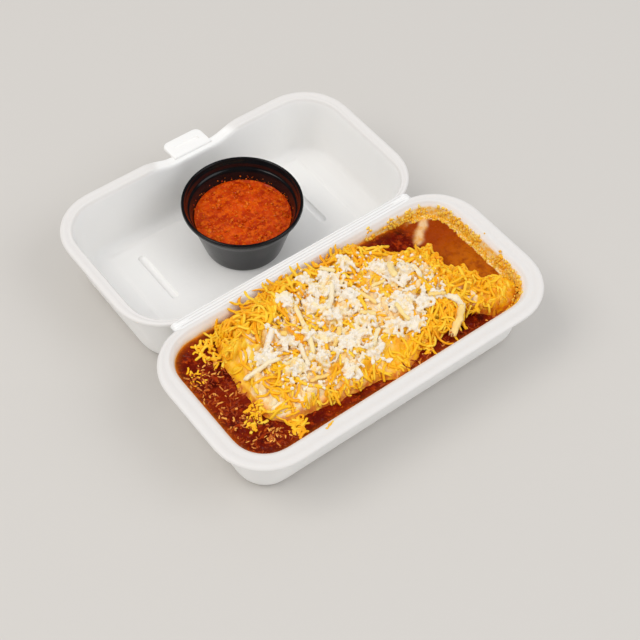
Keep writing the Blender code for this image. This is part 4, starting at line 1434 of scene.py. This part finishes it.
SPIKES = [   # x and y in millimetres, heading in degrees and length of shreds over the rim
    (-38, -14, 150, 10), (-33, -15, 95, 11), (-24, -15.5, 80, 9), (-19, -16, 100, 12),
    (-7, -16.5, 70, 11), (-2, -17, 88, 10), (9, -18.5, 75, 11), (16, -19, 60, 9)]
BACK_LEFT = [(-70, -21), (-61, -16), (-50, -15), (-50, -24), (-58, -36), (-65, -33)]
BACK_REACH = -13 * MM         # the shreds bend from this y on, and end within the play behind it
BACK_PLAY = 2.3 * MM
LEFT_CLUMP = [(-67, -59), (-61, -63), (-65, -72), (-71, -74), (-72, -70), (-70, -64)]
LEFT_FLECKS = [(-78, -27), (-69, -31), (-71, -38), (-80, -36)]
FRONT_PATCH = [(-57, -78), (-50, -79.5), (-51, -83), (-56, -89), (-58, -84)]
for outline, count, lengths, radii, bend, spring, rest in (
        (RIGHT_FLANK, 170, (2, 6.5), (0.35, 0.6), 1.2, 0.0, 0.3),
        (CREAM_FIELD, 45, (3, 9), (0.35, 0.6), 1.2, 0.0, 0.3),
        (FRONT_EDGE, 75, (2.5, 8), (0.35, 0.6), 1.2, 0.0, 0.3),
        (MOUND_CORE, 170, (6, 16), (0.5, 0.75), 1.2, 0.0, 0.5),
        (BACK_STRIP, 150, (7, 17), (0.5, 0.8), 1.2, 1.2, 0.5),
        (FRONT_FRINGE, 55, (9, 18), (0.45, 0.7), 1.5, 0.0, 0.5),
        (BACK_LEFT, 60, (3, 9), (0.4, 0.65), 1.2, 0.0, 0.2),
        (LEFT_CLUMP, 30, (2.5, 6), (0.45, 0.75), 1.2, 0.0, 0.0),
        (LEFT_FLECKS, 14, (2, 4.5), (0.3, 0.45), 1.2, 0.0, -0.3),
        (FRONT_PATCH, 30, (2.5, 6), (0.4, 0.7), 1.2, 0.0, 0.0)):
    for place in scatter_in(outline, count, draw):
        lay_strand(cheddar, thin_strand, place, draw.uniform(0, math.pi), draw.uniform(*lengths),
                   draw.uniform(*radii), draw.gauss(0, bend), draw.random() * spring, rest=rest)
for x, y, heading, length in SPIKES:
    lay_strand(cheddar, thin_strand, (x * MM, y * MM), math.radians(heading), length,
               0.62, 0.3, spring=3.5)
cheddar_shreds = one_mesh("cheddar_shreds", cheddar)
keep_low(cheddar_shreds)
points = read_points(cheddar_shreds)
over_crease = np.maximum(points[:, 1] - BACK_REACH, 0)
points[:, 1] -= over_crease - BACK_PLAY * (1 - np.exp(-over_crease / BACK_PLAY))
print("Shreds reach back to", round(points[:, 1].max() / MM, 1), "mm")
write_points(cheddar_shreds, points)

# %% [markdown]
# ## White cheese
# Crumbled white cheese lies over the middle in soft clumps. Rounded, dented bits and short
# broken strands are dropped on the pile, clump by clump, and a voxel remesh then fuses them
# where they touch, as moist cheese sticks together. The top of the pile settles a little, so
# that it stays as low as the CAD food. The crumbs are palest at the top and painted darker and
# more orange deeper in the pile, partly as painted shade between the crumbs and partly as fat
# soaked in. A few long shreds lie on top.

# %% White clumps
WHITE_CLUMPS = [   # x, y and spread in millimetres
    (2, -31, 9), (-12, -36, 6), (6, -43, 7), (32, -47, 8), (24, -61, 8), (29, -37, 6),
    (-34, -47, 6), (-10, -63, 8), (-18, -57, 6), (11, -69, 6), (-4, -74, 6), (-48, -47, 6),
    (-38, -61, 6), (-9, -47, 6), (32, -67, 4), (40, -68, 4), (2, -59, 6), (-23, -50, 5),
    (-22, -29, 5), (-7, -21, 5), (15, -27, 5), (20, -73, 5), (-19, -76, 5), (-28, -64, 6)]
WHITE_VOXEL = 0.41 * MM
STRAND_SHARE = 0.15           # this share of the bits in a clump are short strands
FIELD_STRANDS = 50
FIELD_LUMPS = 700
draw = random.Random(7)
bpy.ops.object.select_all(action="DESELECT")
bpy.ops.mesh.primitive_ico_sphere_add(subdivisions=2, radius=1, location=(0, 0, 0))
lump = bpy.context.object
lump_points = read_points(lump)
lump_faces = [tuple(face.vertices) for face in lump.data.polygons]
bpy.data.objects.remove(lump, do_unlink=True)


def dented_lump(place, size, dent):
    """Points of one lump with its own turn, stretch and dents."""
    spin = Euler([draw.uniform(0, 2 * math.pi) for _ in range(3)]).to_matrix()
    stretch = np.array([draw.uniform(0.8, 1.6), draw.uniform(0.7, 1.1), draw.uniform(0.6, 1.0)])
    shift = Vector([draw.uniform(-50, 50) for _ in range(3)])
    dents = np.array([noise.noise(Vector(point) * 1.9 + shift) for point in lump_points])
    shape = lump_points * (1 + dent * dents)[:, None] * stretch * size
    return shape @ np.array(spin).T + place


def add_lump(copies, place, size, dent, tone=None):
    """Add a lump to a list of copies. Its tone is random, unless one is given."""
    points = dented_lump(np.array(place), size, dent)
    copies.append((points, lump_faces, draw.random() if tone is None else tone))


def drop_lump(copies, x, y, size, dent=0.85, sink=0.45):
    """Drop a lump on the pile and add it to a list of copies."""
    reach = 0.7 * size
    around = np.array([(x, y, 0), (x + reach, y, 0), (x - reach, y, 0), (x, y + reach, 0),
                       (x, y - reach, 0)])
    place = np.array([x, y, np.sort(pile[map_cells(around)])[-2] + sink * size])
    tone = draw.random()
    raise_pile(np.array([place, place + [0.1 * MM, 0, 0]]), 0.8 * size, tone)
    add_lump(copies, place, size, dent, tone)


short_strand = master_strand(6, 5)
white = []
for x, y, spread in WHITE_CLUMPS:
    for _ in range(round(1.7 * spread * spread)):
        place = (draw.gauss(x, 0.4 * spread) * MM, draw.gauss(y, 0.4 * spread) * MM)
        if draw.random() < STRAND_SHARE:
            lay_strand(white, short_strand, place, draw.uniform(0, math.pi), draw.uniform(2.5, 5.5),
                       draw.uniform(0.6, 1.0), draw.gauss(0, 0.5), rough=0.16, rest=0.3)
        else:
            drop_lump(white, *place, draw.uniform(0.5, 1.2) * MM, sink=-0.2)
for place in scatter_in(WHITE_FIELD, FIELD_STRANDS, draw):
    lay_strand(white, short_strand, place, draw.uniform(0, math.pi), draw.uniform(2.5, 6),
               draw.uniform(0.6, 1.0), draw.gauss(0, 0.5), rough=0.14)
for x, y in scatter_in(WHITE_FIELD, FIELD_LUMPS, draw):
    drop_lump(white, x, y, draw.uniform(0.45, 0.95) * MM, sink=0.0)
white_crumbs = one_mesh("white_crumbs", white)
add_modifier(white_crumbs, "REMESH", mode="VOXEL", voxel_size=WHITE_VOXEL)
keep_low(white_crumbs)
points = read_points(white_crumbs)
normals = np.empty(len(points) * 3)
white_crumbs.data.vertices.foreach_get("normal", normals)
grain = 0.26 * noise_at(points, 700, 31) + 0.14 * noise_at(points, 1500, 32)
write_points(white_crumbs, points + normals.reshape(-1, 3) * (grain * MM)[:, None])
# Partly painted shade: the tone falls with depth under the top of the pile, so crumbs in the
# crevices get the darker, more orange colour of shade and of fat soaked in.
pile_top = settled(sample_map(soften(soften(pile)), points))
depth_in_pile = (pile_top - points[:, 2]) / (2.2 * MM)
add_attribute(white_crumbs, "tone", 0.85 - 0.8 * depth_in_pile + 0.4 * noise_at(points, 220, 33))
settle(white_crumbs, "white_crumbs")

# %% Long white shreds
WHITE_STRANDS = [   # x and y of both ends and radius in millimetres, and bend in degrees
    (-17, -26, -29, -61, 1.25, -25), (-61, -50, -43, -53, 1.3, 8), (-47, -48, -37, -38, 1.5, -20),
    (-36, -38, -34, -46, 1.4, 30), (-30, -51, -35, -64, 1.2, 0), (10, -43, 14, -53, 1.2, 10),
    (4, -53, 6, -61, 1.2, 0), (35, -37, 27, -48, 1.7, 0), (3, -30, -8, -46, 1.5, 15),
    (17, -45, 25, -45, 1.1, 0), (-9, -54, -18, -62, 1.3, 0), (5, -66, -5, -73, 1.3, 10),
    (43, -70, 45, -80, 1.9, -30), (45, -79, 33, -86, 2.0, -30), (33, -68, 42, -69, 1.2, 0),
    (38, -44, 39, -56, 1.2, 20), (4, -20, 8, -28, 1.2, 0), (19, -60, 19, -71, 1.2, 0),
    (-38, -69, -29, -73, 1.1, 0), (-44, -58, -35, -58, 1.2, 0)]
thick_strand = master_strand(8, 11)
long_white = []
for start_x, start_y, end_x, end_y, radius, bend in WHITE_STRANDS:
    run = Vector((end_x - start_x, end_y - start_y))
    middle_place = ((start_x + end_x) / 2 * MM, (start_y + end_y) / 2 * MM)
    lay_strand(long_white, thick_strand, middle_place, math.atan2(run.y, run.x), run.length,
               0.78 * radius, math.radians(bend), rough=0.15)
white_shreds = one_mesh("white_shreds", long_white)
keep_low(white_shreds)

# %% [markdown]
# ## Small bits
# Bits of tomato and onion float half sunk in the sauce and the salsa, and dried orange crumbs
# stick to the wall at the right end, where sauce was spooned in, and lie on the dried edge of
# the sauce there. Each kind is one piece, made from the same strand and lump.

# %% Bits in the sauce and on the wall
draw = random.Random(29)
LEFT_SAUCE = [(-83, -32), (-62, -24), (-62, -50), (-64, -76), (-52, -89), (-20, -90), (-14, -94),
              (-60, -96), (-80, -84)]
FRONT_SAUCE = [(-20, -91), (60, -91), (64, -87), (34, -84), (-16, -86)]
PALE_FLECKS = [(-68, -74), (-58, -80), (-60, -85), (-71, -82)]


def in_sauce(x, y):
    return inset_at(x, y) > SAUCE_INSET + 1.5


sauce_bits = []
for outline, count, paleness in ((LEFT_SAUCE, 240, 0.0), (FRONT_SAUCE, 50, 0.0),
                                 (PALE_FLECKS, 26, 0.45)):
    for x, y in scatter_in(outline, count, draw, in_sauce):
        radius = draw.uniform(0.18, 0.46)
        path = lay_path(x, y, draw.uniform(0, math.pi), draw.uniform(0.8, 3.6) * MM,
                        draw.gauss(0, 0.9), radius * MM, 0, draw, rest=-0.1)
        points, faces = short_strand
        sauce_bits.append((carry_along(points, path, radius * MM, 0.8, 0.2, draw), faces,
                           min(1, paleness + draw.random() ** 1.6)))
sauce_flecks = one_mesh("sauce_flecks", sauce_bits)

WALL_BAND = [(38, -8), (64, -8), (90, -20), (92, -50), (92, -74), (76, -96), (60, -94),
             (72, -74), (72, -36), (62, -20), (38, -17)]
LONE_CRUMBS = [(84.3, -62, 0.75), (83.7, -68.5, 0.65), (85.5, -49, 0.5)]   # x, y, size
RIM_DRIP = (-44.9, -93.3)
WALL_INSETS = (8.5, 11.5)     # millimetres from the rim's outline to where crumbs are placed
EDGE_INSETS = (11.2, 14)
PATCH_SCALE = 140             # crumbs on the wall keep to patches of this noise
PATCH_LEVEL = -0.12
DRIED_EDGE_LEFT = 66 * MM     # the dried edge of the sauce starts at this x
WALL_CRUMBS = 470
EDGE_CRUMBS = 260


def on_wall(x, y):
    thick = noise.noise(Vector((x, y, 0)) * PATCH_SCALE) > PATCH_LEVEL
    return thick and WALL_INSETS[0] < inset_at(x, y) < WALL_INSETS[1]


def on_dried_edge(x, y):
    return x > DRIED_EDGE_LEFT and EDGE_INSETS[0] < inset_at(x, y) < EDGE_INSETS[1]


def stick_to_wall(copies, x, y, height, size):
    """Put a crumb on the base's inner wall at a height, level with a place in plan."""
    wanted = np.interp(height, wall_heights, wall_insets) * MM
    step = 0.1 * MM
    here, right, far = tray_inset(np.array([x, x + step, x]), np.array([y, y, y + step]))
    slope = np.array([right - here, far - here]) / step
    push = (wanted - here) / (slope @ slope)
    place = np.array([x + push * slope[0], y + push * slope[1], height * MM])
    add_lump(copies, place, size, 0.8)


wall_bits = []
for x, y in scatter_in(WALL_BAND, WALL_CRUMBS, draw, on_wall):
    height = sauce_top(x) / MM + 0.2 + 6.0 * draw.random() ** 1.5
    stick_to_wall(wall_bits, x, y, height, draw.uniform(0.3, 1.05) * MM)
for x, y in scatter_in(WALL_BAND, EDGE_CRUMBS, draw, on_dried_edge):
    drop_lump(wall_bits, x, y, draw.uniform(0.25, 0.75) * MM, sink=-0.1)
for x, y, size in LONE_CRUMBS:
    drop_lump(wall_bits, x * MM, y * MM, size * MM, sink=0.3)
for shift in (-2.4, -1.2, 0, 1.3, 2.2):
    drop_lump(wall_bits, (RIM_DRIP[0] + shift) * MM, (RIM_DRIP[1] + 0.3 * shift) * MM,
              (1.0 - 0.15 * abs(shift)) * MM, dent=0.3, sink=-0.35)
wall_crumbs = one_mesh("wall_crumbs", wall_bits)

# %% Bits in the salsa
FLOATING_BITS = 170
FLOATING_REACH = 23.4         # millimetres from the cup's axis
WALL_BITS = 60
WALL_SLOPE = 0.29             # the cup widens by this much for each millimetre of height
BIT_DENT = 0.5


def in_cup(reach, turn, height):
    """A place in the cup, from its distance to the axis, direction and height in millimetres."""
    return CUP_CENTRE + Vector((reach * math.cos(turn), reach * math.sin(turn), height)) * MM


salsa_bits = []
for _ in range(FLOATING_BITS):
    reach = FLOATING_REACH * math.sqrt(draw.random())
    turn = draw.uniform(0, 2 * math.pi)
    size = draw.uniform(0.35, 1.1)
    place = in_cup(reach, turn, SALSA_LEVEL - 0.15 * size)
    add_lump(salsa_bits, place, size * MM, BIT_DENT)
for _ in range(WALL_BITS):
    turn = draw.gauss(math.radians(40), math.radians(50))
    climb = 0.3 + 2.6 * draw.random() ** 2
    place = in_cup(SALSA_RADIUS + 0.1 + WALL_SLOPE * climb, turn, SALSA_LEVEL + climb)
    add_lump(salsa_bits, place, draw.uniform(0.15, 0.4) * MM, BIT_DENT)
tomato_bits = one_mesh("tomato_bits", salsa_bits)

# %% [markdown]
# ## Finish
# Every piece gets its finish, rides on the body that carries it, and takes the place of the
# plain CAD node that stands for it.

# %% Finish
MAIN_PIECES = (
    (foam_base, base_foam, "base", "box_base"), (foam_lid, lid_foam, "lid", "box_lid"),
    (cup, black_plastic, "lid", "sauce_cup"), (salsa, salsa_red, "lid", "salsa"),
    (pool, chile_red, "base", "chile_sauce"),
    (rolls["front"], tortilla, "base", "enchilada_front"),
    (rolls["back"], tortilla, "base", "enchilada_back"),
    (cheese, melted, "base", "cheddar_cheese"),
    (white_crumbs, white_cream, "base", "white_cheese"))
LOOSE_PIECES = (
    (cheddar_shreds, cheddar_orange, "base", "cheddar_cheese"),
    (white_shreds, white_cream, "base", "white_cheese"),
    (sauce_flecks, soaked_bits, "base", "chile_sauce"),
    (wall_crumbs, dried_crumbs, "base", "cheddar_cheese"),
    (tomato_bits, salsa_bit_red, "lid", "salsa"))
for piece, finish, body, node in MAIN_PIECES:
    piece.data.materials.append(finish)
    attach(piece, body)
    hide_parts(node)
for piece, finish, body, slot in LOOSE_PIECES:
    piece.data.materials.append(finish)
    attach(piece, body)
hinge_strip.data.materials.append(lid_foam)
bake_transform(hinge_strip)
